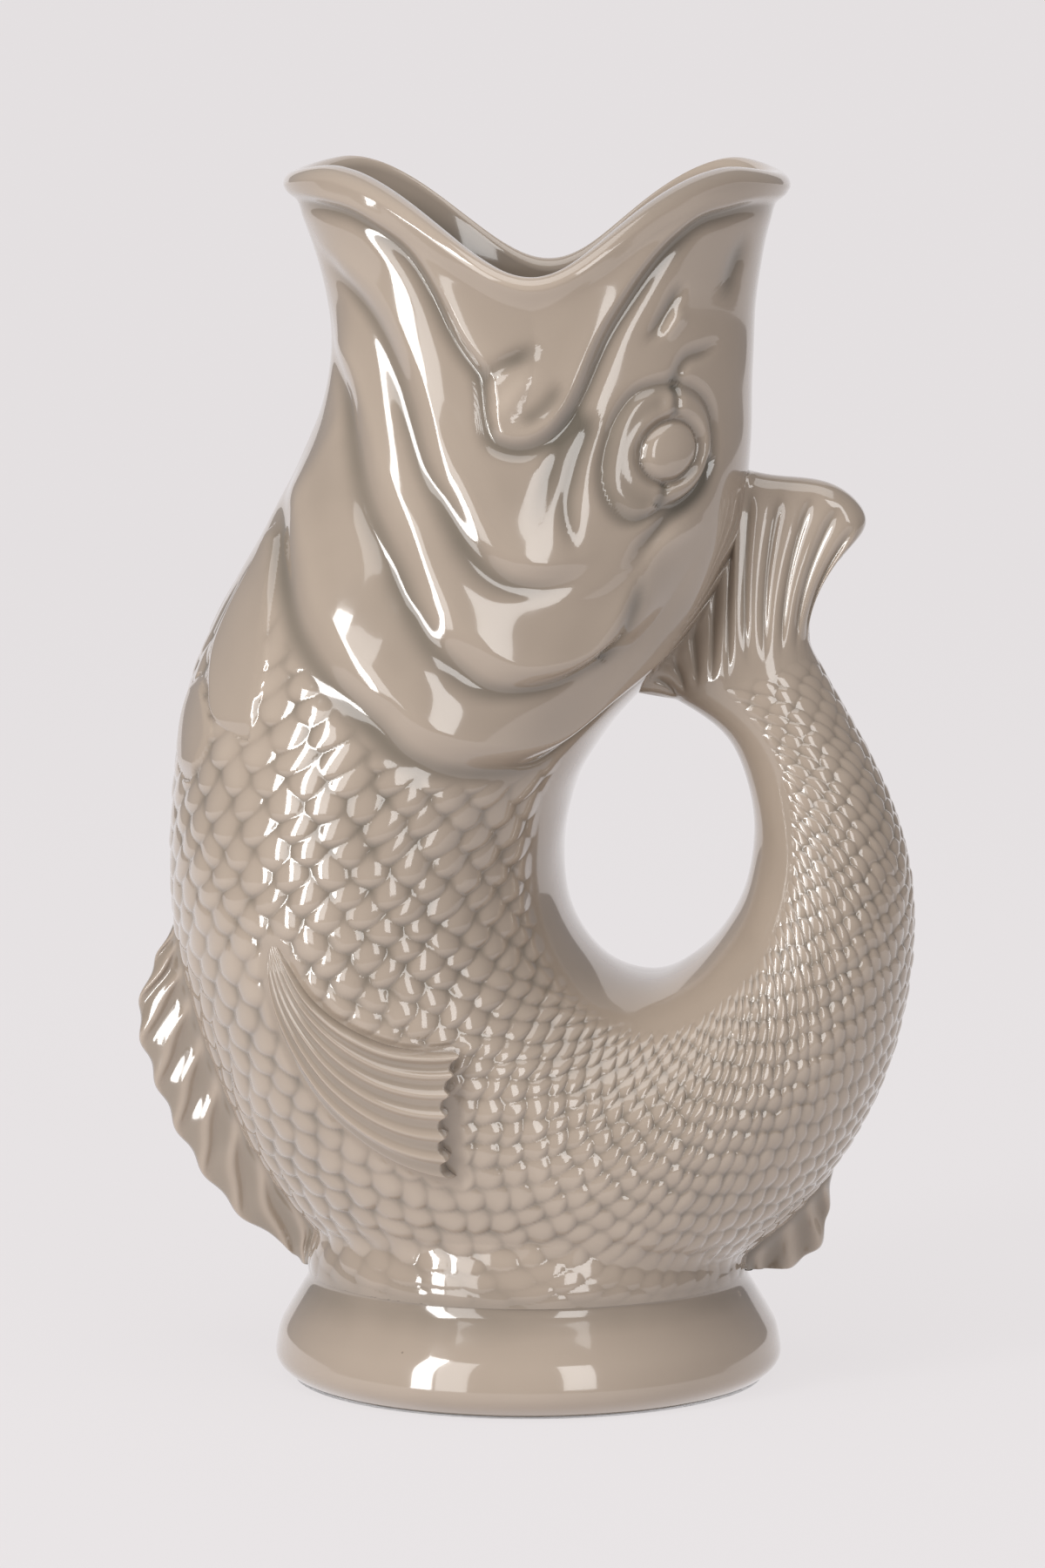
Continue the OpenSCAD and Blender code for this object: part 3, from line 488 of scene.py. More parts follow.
def eye_relief(t, a):
    """The eye: a domed iris in a ring groove, a lid that swells round it, a groove inside the lid
    on its front side, and the outline. Lengths are in iris radii, turned to millimetres by mm."""
    mm = 5.9
    x, y = (a - EYE_A) / IRIS_A, (t - EYE_T) / IRIS_T
    r = np.hypot(x, y)
    reach = EYE_REACH(np.arctan2(y, x))[0]
    lid = np.clip((r - 1.08) / np.maximum(reach - 1.08, 0.2), 0, 1)
    outline = bell((r - reach) * mm / 1.6)
    inner = bell((r / np.maximum(reach, 0.1) - 0.74) * mm) * smooth((x - 0.1) / 0.6)
    h = 0.9 * smooth((r - 1.02) * mm / 2.2) * np.sin(np.pi * lid ** 0.8) ** 0.7
    h += np.where(r < 1.12, 1.25 * np.sqrt(np.clip(1 - (r / 1.06) ** 2, 0, 1)), 0)
    h -= 0.7 * bell((r - 1.1) * mm / 1.25) + 0.8 * outline + 0.6 * inner
    # tone: iris crown paler, grooves and outline darker: thin and pooled glaze, with painted light
    # and painted shade
    tone = 0.4 * bell(r / 0.7) - 0.6 * bell((r - 1.1) * mm / 1.2) - 0.8 * outline - 0.5 * inner
    return h, tone


def scaled_part(p, t, a, below_gill):
    """Where the scales are, from 0 to 1: below the gill, short of the tail fin, off the plain skin
    round the finger hole and off the side fin, fading towards the foot and the tail."""
    where = smooth((below_gill - 1.2) / 4.5) * smooth((a - BARE_BACK(t)[0]) / 9)
    where *= smooth((22.15 - t) / 0.5) * smooth((t - 5.2) / 0.6) * (below_gill > 0)
    where *= smooth((p[..., 2] - 20.5) / 4) * (0.25 + 0.75 * smooth((p[..., 2] - 25) / 13))
    return where * (1 - side_fin_inside(t, a)) * (1 - 0.45 * smooth((t - 18.5) / 3.5))


def relief(t, a):
    """Everything that the modeller cut into the skin or laid on it: plates, lips, eye, lines,
    folds and scales, as a height in millimetres, and a tone from dark (-1) to pale (1): pooled glaze
    and painted shade in the hollows, thin glaze and painted light on the swells and crests."""
    p, _, per_t, per_a = skin(t, a)
    x, y, z = (p[..., k] for k in range(3))
    below_gill = across(GILL, t, a, per_t, per_a)
    rim = (t - rim_section(a)) * per_t
    where = scaled_part(p, t, a, below_gill)
    h, tone = np.zeros_like(t), np.zeros_like(t)
    for part_h, part_tone in (plates_relief(t, a, per_t, per_a), lips_relief(p, t, a, rim),
                              lines_relief(p), eye_relief(t, a)):
        h += part_h
        tone += part_tone
    plain = np.zeros_like(t)
    for table in (THROAT_UPPER, THROAT_LOWER):
        rise, inside = leaf(t, a, table, 1.15)
        h += rise * smooth(below_gill / 2.0)
        plain = np.maximum(plain, inside)
    where *= 1 - np.clip(plain, 0, 1)
    scale_h, scale_tone = scales(t, a, per_t, per_a)
    h += where * scale_h
    tone += where * scale_tone * 1.1
    # the casting isn't dead true, and the glaze lies a little uneven where there are no scales
    h += 0.10 * np.sin(x / 11 + 1.3) * np.sin(z / 13 + y / 17)
    uneven = 0.10 * (1 - where) * smooth((24 - t) / 2) * smooth(rim / 8)
    h += uneven * np.sin(x / 3.7 + z / 6.1) * np.sin(z / 4.9 - y / 5.3 + 0.7)
    return h, tone


PROFILE = natural(FOOT_PROFILE[:, 0], FOOT_PROFILE[:, 1])
# Millimetres that the root of a fin is sunk into the body
SUNK = 1.6


def spread(p, t):
    """The bottom of the body, spread into the cove over the foot: a soft maximum of its distance
    from the foot's axis and of the foot's profile. Returns the points and how far each one's
    outward direction is turned to the radial one."""
    low = p[..., 2] < 44
    dx, dy = p[..., 0] - AXIS_X, p[..., 1]
    r = np.maximum(np.hypot(dx, dy), 1e-6)
    cove = PROFILE(np.clip(p[..., 2], 0, 46))[0] - 60 * smooth((p[..., 2] - 34) / 12)
    k = 2.2
    blend = np.clip(0.5 + (r - cove) / (2 * k), 0, 1)
    wide = cove + (r - cove) * blend + k * blend * (1 - blend)
    wide = np.where(low & (t > LOW_START), wide, r)
    radial = np.stack([dx / r, dy / r, np.zeros_like(r)], -1)
    place = radial * wide[..., None] + (AXIS_X, 0, 0)
    place[..., 2] = p[..., 2]
    return place, radial * smooth((wide - r) / 2.5)[..., None]


def surface(t, a):
    """The jug's outside: the skin, moved out along its normal by the relief, and spread into the
    cove. Returns points and tone."""
    p, n, _, _ = skin(t, a)
    h, tone = relief(t, a)
    p, turned = spread(p, t)
    n = n * (1 - length(turned))[..., None] + turned
    p = p + unit(n) * h[..., None]
    # painted shade: the body is painted darker in a band round the crease over the foot
    return p, tone - 0.5 * bell((p[..., 2] - 21) / 5) * (t > LOW_START)


def normals_of(t, a):
    """Outward normals of the outside, from points a little either way."""
    et, ea = 0.012, 0.35
    dt = surface(t + et, a)[0] - surface(t - et, a)[0]
    da = surface(t, a + ea)[0] - surface(t, a - ea)[0]
    return unit(np.cross(da, dt))


# Meshes

def all_round(half):
    """Rows known from the back to the front on one side, mirrored on to the other side."""
    far = half[:, -2:0:-1].copy()
    if half.ndim == 3:
        far[..., 1] *= -1
    return np.concatenate([half, far], axis=1)


def half_angles():
    """Degrees round of the columns on the near side, from the back to the front."""
    return np.linspace(0, 180, COLUMNS // 2 + 1)


def run_along(points, axis):
    """Length run so far down the rows (0) or along the columns (1) of a grid of points."""
    step = length(np.diff(points, axis=axis))
    start = np.zeros_like(step.take([0], axis))
    return np.concatenate([start, np.cumsum(step, axis=axis)], axis=axis)


def cells(index, flip=False):
    """Quads between the neighbours in a grid of point numbers."""
    q = np.stack([index[:-1, :-1], index[:-1, 1:], index[1:, 1:], index[1:, :-1]], -1)
    q = q.reshape(-1, 4)
    return q[:, ::-1] if flip else q


def quads(rows, cols, close_rows, close_cols=True):
    """Quads of a grid of points, whose last row and last column may join the first."""
    index = np.arange(rows * cols).reshape(rows, cols)
    if close_rows:
        index = np.concatenate([index, index[:1]])
    if close_cols:
        index = np.concatenate([index, index[:, :1]], axis=1)
    return cells(index)


def signed_volume(verts, faces, tris):
    """Volume that the faces close in, negative where they look inwards: a sum of tetrahedra."""
    total = 0.0
    for f in (faces[:, [0, 1, 2]], faces[:, [0, 2, 3]], tris):
        if len(f):
            a, b, c = (verts[f[:, k]] for k in range(3))
            total += np.einsum("ij,ij->", a, np.cross(b, c)) / 6
    return total


def vertex_normals(verts, faces, tris):
    """Outward normal of each point: the mean of the faces round it, weighed by their area."""
    n = np.zeros_like(verts)
    for f in (faces[:, [0, 1, 2]], faces[:, [0, 2, 3]], tris):
        area = np.cross(verts[f[:, 1]] - verts[f[:, 0]], verts[f[:, 2]] - verts[f[:, 0]])
        for k in range(3):
            np.add.at(n, f[:, k], area)
    n *= np.sign(signed_volume(verts, faces, tris))
    return unit(n)


def make_piece(name, verts, faces, tone, tris=None, normals=None, bare=0.0):
    """A mesh object from points in millimetres. Faces are turned to look outwards, normals are
    laid on the corners where they are known, and tone and bare clay become attributes."""
    verts = verts.reshape(-1, 3)
    tris = np.zeros((0, 3), int) if tris is None else tris
    if signed_volume(verts, faces, tris) < 0:
        faces, tris = faces[:, ::-1], tris[:, ::-1]
    mesh = bpy.data.meshes.new(name)
    loops = np.concatenate([faces.ravel(), tris.ravel()])
    sizes = np.concatenate([np.full(len(faces), 4), np.full(len(tris), 3)])
    starts = np.concatenate([[0], np.cumsum(sizes)[:-1]])
    mesh.vertices.add(len(verts))
    mesh.vertices.foreach_set("co", (verts / 1000).ravel())
    mesh.loops.add(len(loops))
    mesh.loops.foreach_set("vertex_index", loops)
    mesh.polygons.add(len(sizes))
    mesh.polygons.foreach_set("loop_start", starts)
    mesh.update(calc_edges=True)
    mesh.polygons.foreach_set("use_smooth", np.ones(len(sizes), bool))
    for key, value in (("tone", tone), ("bare", bare)):
        layer = mesh.attributes.new(key, "FLOAT", "POINT")
        layer.data.foreach_set("value", np.full(len(verts), np.ravel(value), float))
    if normals is not None:
        mesh.normals_split_custom_set_from_vertices(normals.reshape(-1, 3).tolist())
    if mesh.validate(clean_customdata=False):
        raise RuntimeError(name + ": the mesh had faults")
    obj = bpy.data.objects.new(name, mesh)
    bpy.context.scene.collection.objects.link(obj)
    mesh.materials.append(bpy.data.materials["greige_glaze"])
    return obj


def round_piece(name, points, normals, tones):
    """A closed piece of the jug from stretches of rows on the near side: each is mirrored on to
    the far side, and the last row joins the first."""
    rows_p, rows_n, rows_t = (np.concatenate([all_round(part) for part in parts])
                              for parts in (points, normals, tones))
    return make_piece(name, rows_p, quads(len(rows_p), COLUMNS, True), rows_t, normals=rows_n)


def settle(obj, *nodes):
    """The piece rides with the jug and stands for its CAD nodes."""
    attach(obj, "root")
    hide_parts(*nodes)


def to_the_seam(t, a):
    """Points of the skin that lie just under the foot's seam are slid up to it."""
    z = skin(t, a)[0][..., 2]
    under = z < SEAM_Z
    touch = np.zeros_like(under)
    touch[1:] |= ~under[:-1]
    touch[:-1] |= ~under[1:]
    touch[:, 1:] |= ~under[:, :-1]
    touch[:, :-1] |= ~under[:, 1:]
    touch &= under
    tt, aa = t[touch], a[touch]
    for _ in range(6):
        p, _, per_t, per_a = skin(tt, aa)
        gt = (skin(tt + 1e-3, aa)[0][..., 2] - p[..., 2]) / 1e-3 / per_t
        ga = (skin(tt, aa + 1e-2)[0][..., 2] - p[..., 2]) / 1e-2 / per_a
        step = np.clip((SEAM_TOP - p[..., 2]) / (gt * gt + ga * ga), -1.5, 1.5)
        tt = tt + step * gt / per_t
        aa = np.clip(aa + step * ga / per_a, 0, 180)
    t, a = t.copy(), a.copy()
    t[touch], a[touch] = tt, aa
    return t, a, under & ~touch


def shell(name, first, last, rows, lining_rows):
    """A band of the jug's wall between two edges: the outside follows the relief, the lining is
    the section drawn in by the wall, and the two are joined at both edges."""
    a = half_angles()
    start, stop = first(a)[0], last(a)[0]
    t = start + (stop - start) * np.linspace(0, 1, rows)[:, None]
    aa = np.broadcast_to(a, t.shape)
    flat = None
    if skin(t, aa)[0][..., 2].min() < SEAM_Z:
        t, aa, flat = to_the_seam(t, aa)
    p, tone = surface(t, aa)
    n = normals_of(t, aa)
    if flat is not None:
        p[flat] = skin(t[flat], aa[flat])[0]
        n[flat] = (0, 0, -1)
        p[..., 2] = np.maximum(np.where(flat, 0, p[..., 2]), SEAM_TOP)
    ti = start + (stop - start) * np.linspace(1, 0, lining_rows)[:, None]
    ai = np.broadcast_to(a, ti.shape)
    q = lining(ti, ai, WALL)
    q[..., 2] = np.where(ti > LOW_START, np.maximum(q[..., 2], SEAM_Z + 4), q[..., 2])
    # the lining carries painted shade
    return round_piece(name, (p, q), (n, -skin(ti, ai)[1]), (tone, np.full_like(ti, LINING_SHADE)))


def level(section):
    """An edge at one section all round, in the form of the other edges."""
    return lambda a: (np.full(a.shape, section), 0)


def lip_shell():
    """The lips: outside down to the lip line, the rim rounded over in a half circle, and the
    lining down the throat."""
    a = half_angles()
    top, low = rim_section(a) + 0.13, LIP(a)[0]
    t = top + (low - top) * np.linspace(0, 1, 120)[:, None] ** 1.15
    aa = np.broadcast_to(a, t.shape)
    p, tone = surface(t, aa)
    n = normals_of(t, aa)
    ti = low + (top - low) * np.linspace(0, 1, 30)[:, None]
    ai = np.broadcast_to(a, ti.shape)
    q = lining(ti, ai, WALL * (0.9 + 0.1 * smooth((ti - top) / 0.5)))
    outer, inner = p[0], q[-1]
    middle, reach = (outer + inner) / 2, (outer - inner) / 2
    up = surface(t[0] - 0.05, a)[0] - surface(t[0] + 0.05, a)[0]
    up -= reach * (np.einsum("ij,ij->i", up, reach) / np.einsum("ij,ij->i", reach, reach))[:, None]
    up = unit(up)
    turn = np.radians(np.linspace(180, 0, 15)[1:-1])[:, None, None]
    size = length(reach)[:, None]
    arc = middle + np.cos(turn) * reach + np.sin(turn) * up * size * 0.92
    arc_n = np.cos(turn) * reach / size + np.sin(turn) * up
    # the lining carries painted shade that fades out towards the rim; the rounded rim is painted
    # paler, thin glaze and painted light
    return round_piece("lips", (p, q, arc), (n, -skin(ti, ai)[1], arc_n), (
        tone, LINING_SHADE * smooth((ti - top) / 0.6), np.full(arc.shape[:2], 0.6)))


def ends(rows_p, start, end):
    """Points and triangles that close a chain of rings with a point at each end."""
    rings, cols = rows_p.shape[:2]
    verts = np.concatenate([rows_p.reshape(-1, 3), start[None], end[None]])
    j = np.arange(cols)
    k = (j + 1) % cols
    first = np.stack([np.full(cols, rings * cols), k, j], -1)
    last = np.stack([np.full(cols, rings * cols + 1), (rings - 1) * cols + j,
                     (rings - 1) * cols + k], -1)
    return verts, np.concatenate([first, last])


def tail_shell():
    """The part of the tail over the bend, closed at both ends: the air chamber in it ends at a
    flat wall."""
    a = half_angles()
    t, aa = np.meshgrid(np.linspace(BEND_END, TAIL_END, 130), a, indexing="ij")
    p, tone = surface(t, aa)
    n = normals_of(t, aa)
    ti, ai = np.meshgrid(np.linspace(CHAMBER_END, BEND_END, 8), a, indexing="ij")
    q, m = lining(ti, ai, WALL), -skin(ti, ai)[1]
    rows_p = np.concatenate([all_round(q), all_round(p)])
    verts, caps = ends(rows_p, q[0][[0, -1]].mean(0), p[-1][[0, -1]].mean(0))
    axis = unit(verts[-1:] - verts[-2:-1])
    rows_n = np.concatenate([all_round(m), all_round(n)]).reshape(-1, 3)
    rows_t = np.concatenate([all_round(np.zeros_like(ti)), all_round(tone)]).ravel()
    return make_piece("tail", verts, quads(len(rows_p), COLUMNS, False), np.append(rows_t, [0, 0]),
                      caps, np.concatenate([rows_n, -axis, axis]))


def foot():
    """The foot, turned round its upright axis: stand ring, bulging flank and the start of the
    cove, with a shallow hollow underneath. Its underside is bare clay where it stands."""
    z = np.concatenate([np.linspace(0, 3, 14), np.linspace(3.2, SEAM_Z, 60)])
    r, slope = PROFILE(z)
    # the hollow underneath: a flat roof, the bend of its wall, and the ring that stands
    roof, ring = np.zeros(9), np.zeros(4)
    bend = np.radians(np.linspace(10, 90, 7))
    under_r = np.concatenate([np.linspace(4, 36, len(roof)), 41.5 - 3.5 * np.cos(bend),
                              [43.0, 45.0, 47.0, 48.2]])
    under_z = np.concatenate([roof + HOLLOW, HOLLOW * (1 - np.sin(bend)), [0.02, 0.0, 0.0, 0.0]])
    # the floor inside, level with the seam
    in_r = np.linspace(43, 4, 6)
    inside = np.zeros(len(in_r))
    rr = np.concatenate([under_r, r, in_r])
    zz = np.concatenate([under_z, z, inside + SEAM_Z])
    steep = np.hypot(1, slope)
    nr = np.concatenate([roof, -np.cos(bend), ring, 1 / steep, inside])
    nz = np.concatenate([roof - 1, -np.sin(bend), ring - 1, -slope / steep, inside + 1])
    th = np.linspace(0, 2 * np.pi, COLUMNS, endpoint=False)
    wave = 1 + 0.0012 * np.sin(3 * th + 0.5)
    rows = np.stack([AXIS_X + rr[:, None] * np.cos(th) * wave, -rr[:, None] * np.sin(th) * wave,
                     np.broadcast_to(zz[:, None], (len(rr), COLUMNS))], -1)
    ns = np.stack([nr[:, None] * np.cos(th), -nr[:, None] * np.sin(th),
                   np.broadcast_to(nz[:, None], (len(rr), COLUMNS))], -1)
    verts, caps = ends(rows, np.array([AXIS_X, 0, HOLLOW]), np.array([AXIS_X, 0, SEAM_Z]))
    bare = np.concatenate([smooth((under_r - 39) / 3) * smooth((2.5 - under_z) / 2),
                           smooth((0.9 - z) / 0.7), inside])
    # painted light: a paler band round the bulge of the flank; painted shade: a darker band at the
    # crease under the cove
    tone = np.concatenate([np.zeros(len(under_r)),
                           0.35 * bell((z - 9) / 6) - 0.5 * bell((z - 21) / 5), inside])
    tone, bare = (np.append(np.repeat(value, COLUMNS), [0, 0]) for value in (tone, bare))
    return make_piece("foot", verts, quads(len(rr), COLUMNS, False), tone, caps,
                      np.concatenate([ns.reshape(-1, 3), [[0, 0, -1], [0, 0, 1]]]), bare)


def plate_solid(name, near, far, tone):
    """A closed solid between two grids of points that share their border."""
    rows, cols = near.shape[:2]
    index_near = np.arange(rows * cols).reshape(rows, cols)
    index_far = index_near.copy()
    index_far[1:-1, 1:-1] = rows * cols + np.arange((rows - 2) * (cols - 2)).reshape(
        rows - 2, cols - 2)
    verts = np.concatenate([near.reshape(-1, 3), far[1:-1, 1:-1].reshape(-1, 3)])
    return make_piece(name, verts, np.concatenate([cells(index_near), cells(index_far, True)]),
                      np.concatenate([tone.ravel(), tone[1:-1, 1:-1].ravel()]))


# Side fin, root to tip: upper section, upper angle, lower section, lower angle
SIDE_FIN = np.array([
    (9.27, 115.0, 9.35, 116.0), (9.44, 112.6, 9.58, 117.2), (9.73, 109.4, 9.91, 118.8),
    (10.03, 106.2, 10.25, 119.0), (10.32, 101.0, 10.68, 118.0), (10.55, 95.3, 11.1, 116.0),
    (10.74, 89.6, 11.48, 112.6), (10.88, 83.8, 11.8, 109.0), (10.99, 78.6, 12.06, 105.0),
    (11.06, 74.4, 12.27, 100.6)])


def side_fin(name, hand):
    """A side fin: it lies on the flank, rises from its root to a thick scalloped tip, and seven
    ribs run along it. Its upper side is a sum of a swell and of rounded ribs."""
    ribs = 6.4
    # points crowd at the borders, where the fin rolls over
    u = 1 - (1 - np.linspace(0, 1, 120) ** 0.9) ** 1.5
    v = np.cos(np.pi * np.linspace(0, 1, 180))
    v = 0.5 - 0.5 * v * (0.55 + 0.45 * np.abs(v))
    v = (v - v[0]) / (v[-1] - v[0])
    uu, vv = np.meshgrid(u, v, indexing="ij")
    # the ribs fan out evenly, with a narrow one at the upper edge
    crest = np.exp(np.cos(2 * np.pi * (ribs * vv - 0.4)) - 1)
    scallop = 0.035 * (crest - 0.4) * smooth((uu - 0.8) / 0.2)
    table = natural(np.linspace(0, 1, len(SIDE_FIN)), SIDE_FIN)
    dr = table(np.full_like(uu, 1.0))[0] - table(np.full_like(uu, 0.9))[0]
    r = table(uu)[0] + dr * (scallop / 0.1)[..., None]
    t = r[..., 0] + (r[..., 2] - r[..., 0]) * vv
    a = r[..., 1] + (r[..., 3] - r[..., 1]) * vv
    base, n, _, _ = skin(t, a)
    along, wide = run_along(base, 0), run_along(base, 1)
    to_side = np.minimum(wide, wide[:, -1:] - wide)
    swell = 0.9 + 3.6 * uu ** 1.3 * (0.74 + 0.26 * np.sin(np.pi * vv))
    swell += 0.9 * bell((vv - 0.05) / 0.07)
    rib = (0.3 + 0.95 * uu) * (crest - 0.4) * smooth(uu / 0.25)
    round_tip = quarter((along[-1:] - along) / 0.9)
    h = (swell + rib) * quarter(to_side / 2.2) * round_tip * smooth(along / 8) ** 0.6
    near = base + n * h[..., None]
    border = np.ones_like(uu, bool)
    border[1:-1, 1:-1] = False
    far = np.where(border[..., None], near, base)
    # painted light and shade: rib crests paler, valleys darker, glaze thinner on the crests; the
    # rolled tip darker as painted shade
    tone = (crest - 0.5) * 1.1 * smooth(uu / 0.2) - 0.6 * (1 - round_tip)
    if hand < 0:
        near, far = near * (1, -1, 1), far * (1, -1, 1)
    return plate_solid(name, near, far, tone)


def keel_fin(name, start, stop, depths, deepest, flutes, sweep):
    """A fin in the mid plane: its root is sunk into the front of the skin, its outer edge is lobed,
    and its ribs sweep from root to edge. A rib is a narrow crest between wide valleys: the
    exponential of a cosine."""
    nu, nv = flutes * 24 + 1, 36
    uu, vv = np.meshgrid(np.linspace(0, 1, nu), np.linspace(0, 1, nv), indexing="ij")
    depth = natural(np.linspace(0, 1, len(depths)), np.array(depths, float))(uu)[0]
    depth = np.maximum(depth, 0) * deepest / 100
    turn = 2 * np.pi * flutes * (uu - sweep * vv)
    crest = np.exp(1.3 * (np.cos(turn) - 1))
    lobe = 0.5 * np.cos(2 * np.pi * flutes * (uu - sweep)) * smooth(depth / 6)
    t = start + (stop - start) * uu
    front = np.full_like(t, 180.0)
    bare, n, _, _ = skin(t, front)
    root, _ = spread(bare + 0.5 * n, t)
    out = (depth + lobe + SUNK) * vv - SUNK
    p = root + n * out[..., None]
    p[..., 1] = 0
    p[..., 2] = np.maximum(p[..., 2], SEAM_Z + 0.3)
    thick = (1.75 - 0.75 * vv) + 1.9 * bell(np.maximum(out, 0) / 1.9)
    thick = thick + 0.75 * (crest - 0.4) * smooth(out / 3) * np.minimum(1, depth / 6)
    thick = thick * np.sqrt(np.clip(1 - vv ** 10, 0, 1)) * np.sqrt(
        smooth(uu / 0.03) * smooth((1 - uu) / 0.03))
    swing = 0.45 * vv * np.sin(turn) * np.minimum(1, depth / 6)
    near, far = p.copy(), p.copy()
    near[..., 1] = swing - thick
    far[..., 1] = swing + thick
    for side in (near, far):
        side[:, 0], side[0], side[-1] = p[:, 0], p[0], p[-1]
        side[:, -1, 1] = swing[:, -1]
    near[0, -1], near[-1, -1] = far[0, -1], far[-1, -1]
    # crests paler, valleys darker: thin warm glaze with painted light and shade; a painted shadow
    # darkens the root
    tone = 1.2 * (crest - 0.45) * smooth(out / 2) - 0.6 * bell(out / 1.6)
    return plate_solid(name, near, far, tone)


# Sections of the back of the head between which the rim of the tail fin is seated
RIM_LOW, RIM_HIGH = 6.85, 4.2
# Free edge of the tail fin, from the head to its outer tip (x, z)
FIN_FREE = np.array([(45.6, 186.4), (50.6, 185.4), (56.5, 184.9), (62.0, 183.9), (66.6, 181.3),
                     (69.5, 177.5), (69.2, 174.0), (66.8, 171.0)])


def fin_rim(w):
    """Rim of the tail fin in the mid plane, w from 0 at its lower lobe to 1 at its outer tip: up
    the back of the head for the first half, then along the free edge."""
    up = np.clip(w / 0.5, 0, 1) ** 1.6
    head, n, _, _ = skin(RIM_LOW + (RIM_HIGH - RIM_LOW) * up, np.zeros_like(w))
    head = head - SUNK * n
    free = natural(np.linspace(0, 1, len(FIN_FREE)), FIN_FREE)(np.clip((w - 0.5) / 0.5, 0, 1))[0]
    free = np.stack([free[..., 0], np.zeros_like(w), free[..., 1]], -1)
    return np.where((w <= 0.5)[..., None], head, free)


def fin_sides():
    """Near and far side of the tail fin: rays run from the root ring of the tail to the rim as
    quadratic curves, bent in near the outer edge. Each side carries rounded ribs. Returns the two
    grids of points and their tone."""
    s = 1 - (1 - np.linspace(0, 1, 90)) ** 1.35
    ss, ww = np.meshgrid(s, np.linspace(0, 1, 121), indexing="ij")
    root, _ = surface(np.full_like(ww, TAIL_END), ww * 180)
    tip = fin_rim(ww)
    middle = root * (1, 0, 1)
    bend = np.array([-10.2, 0, -2.5]) * (ww ** 2)[..., None]
    bend = bend + np.array([1.8, 0, 3.8]) * (smooth(ww / 0.14) * (1 - ww) ** 2)[..., None]
    ctrl = (middle + tip) / 2 + bend
    mid = (1 - ss[..., None]) ** 2 * middle + 2 * (ss * (1 - ss))[..., None] * ctrl + (
        ss ** 2)[..., None] * tip
    rim_half = 4.9 * np.sqrt(np.clip(1 - (2 * ww - 1) ** 6, 0, 1))
    out = smooth(ss * 1.15)
    body = -root[..., 1] * (1 - out) + rim_half * out
    # twelve ribs, weak at the root, at both edges and at the rim
    crest = np.abs(np.sin(12 * np.pi * (ww - 0.02))) ** 0.8
    along = run_along(mid, 0)
    to_rim = along[-1:] - along
    strength = smooth((ss - 0.02) / 0.3) * smooth(ww / 0.05) * smooth((1 - ww) / 0.05)
    strength = strength * smooth((to_rim - 1.5) / np.where(ww > 0.5, 7, 3))
    body = body + (crest - 0.6) * strength
    # the rim rolls over towards the mid plane, more widely at the free edge
    free = smooth((ww - 0.5) / 0.03)
    body = body * (free * quarter(to_rim / 4.2) + (1 - free) * quarter(to_rim / 0.9))
    near = mid - body[..., None] * (0, 1, 0)
    near[0] = root[0]
    near[:, 0, 1] = near[:, -1, 1] = near[-1, :, 1] = 0
    # the tone paints painted light on the rib crests and painted shade in the valleys
    return near, near * (1, -1, 1), (crest - 0.6) * 1.2 * strength


def tail_fin():
    """The tail fin as a closed solid: its two sides share the rim and both edges, and a fan of
    triangles closes the root."""
    near, far, tone = fin_sides()
    rows, cols = near.shape[:2]
    index_near = np.arange(rows * cols).reshape(rows, cols)
    index_far = index_near.copy()
    index_far[:-1, 1:-1] = rows * cols + np.arange((rows - 1) * (cols - 2)).reshape(
        rows - 1, cols - 2)
    verts = np.concatenate([near.reshape(-1, 3), far[:-1, 1:-1].reshape(-1, 3),
                            near[0].mean(0)[None] * (1, 0, 1)])
    ring = np.concatenate([index_near[0], index_far[0, -2:0:-1]])
    cap = np.stack([np.full(len(ring), len(verts) - 1), np.roll(ring, -1), ring], -1)
    quad = np.concatenate([cells(index_near), cells(index_far, True)])
    # at the root the normals run on from those of the tail
    normals = vertex_normals(verts, quad, cap)
    ring_n = normals_of(np.full(cols, TAIL_END - 0.02), np.linspace(0, 180, cols))
    for row in range(12):
        share = bell(row / 6)
        for index, n in ((index_near[row], ring_n), (index_far[row], ring_n * (1, -1, 1))):
            normals[index] = unit(share * n + (1 - share) * normals[index])
    tones = np.concatenate([tone.ravel(), tone[:-1, 1:-1].ravel(), [0]])
    return make_piece("tail_fin_ribbed", verts, quad, tones, cap, normals)


# Finish

def srgb(r, g, b):
    """A colour given in 0 to 255, as linear light."""
    c = np.array([r, g, b]) / 255
    c = np.where(c <= 0.04045, c / 12.92, ((c + 0.055) / 1.055) ** 2.4)
    return (*c.tolist(), 1.0)


def set_sockets(node, values):
    """Set values on a node's sockets, by their names or numbers."""
    for socket, value in values.items():
        node.inputs[socket].default_value = value


def add_node(tree, kind, values, operation=None):
    """A new node with its values set."""
    node = tree.nodes.new(kind)
    if operation:
        node.operation = operation
    set_sockets(node, values)
    return node


def blend_colours(tree, factor, base, over):
    """Mix a fixed colour over the colour that comes from base."""
    mix = add_node(tree, "ShaderNodeMixRGB", {"Color2": over})
    tree.links.new(factor, mix.inputs["Fac"])
    tree.links.new(base, mix.inputs["Color1"])
    return mix.outputs["Color"]


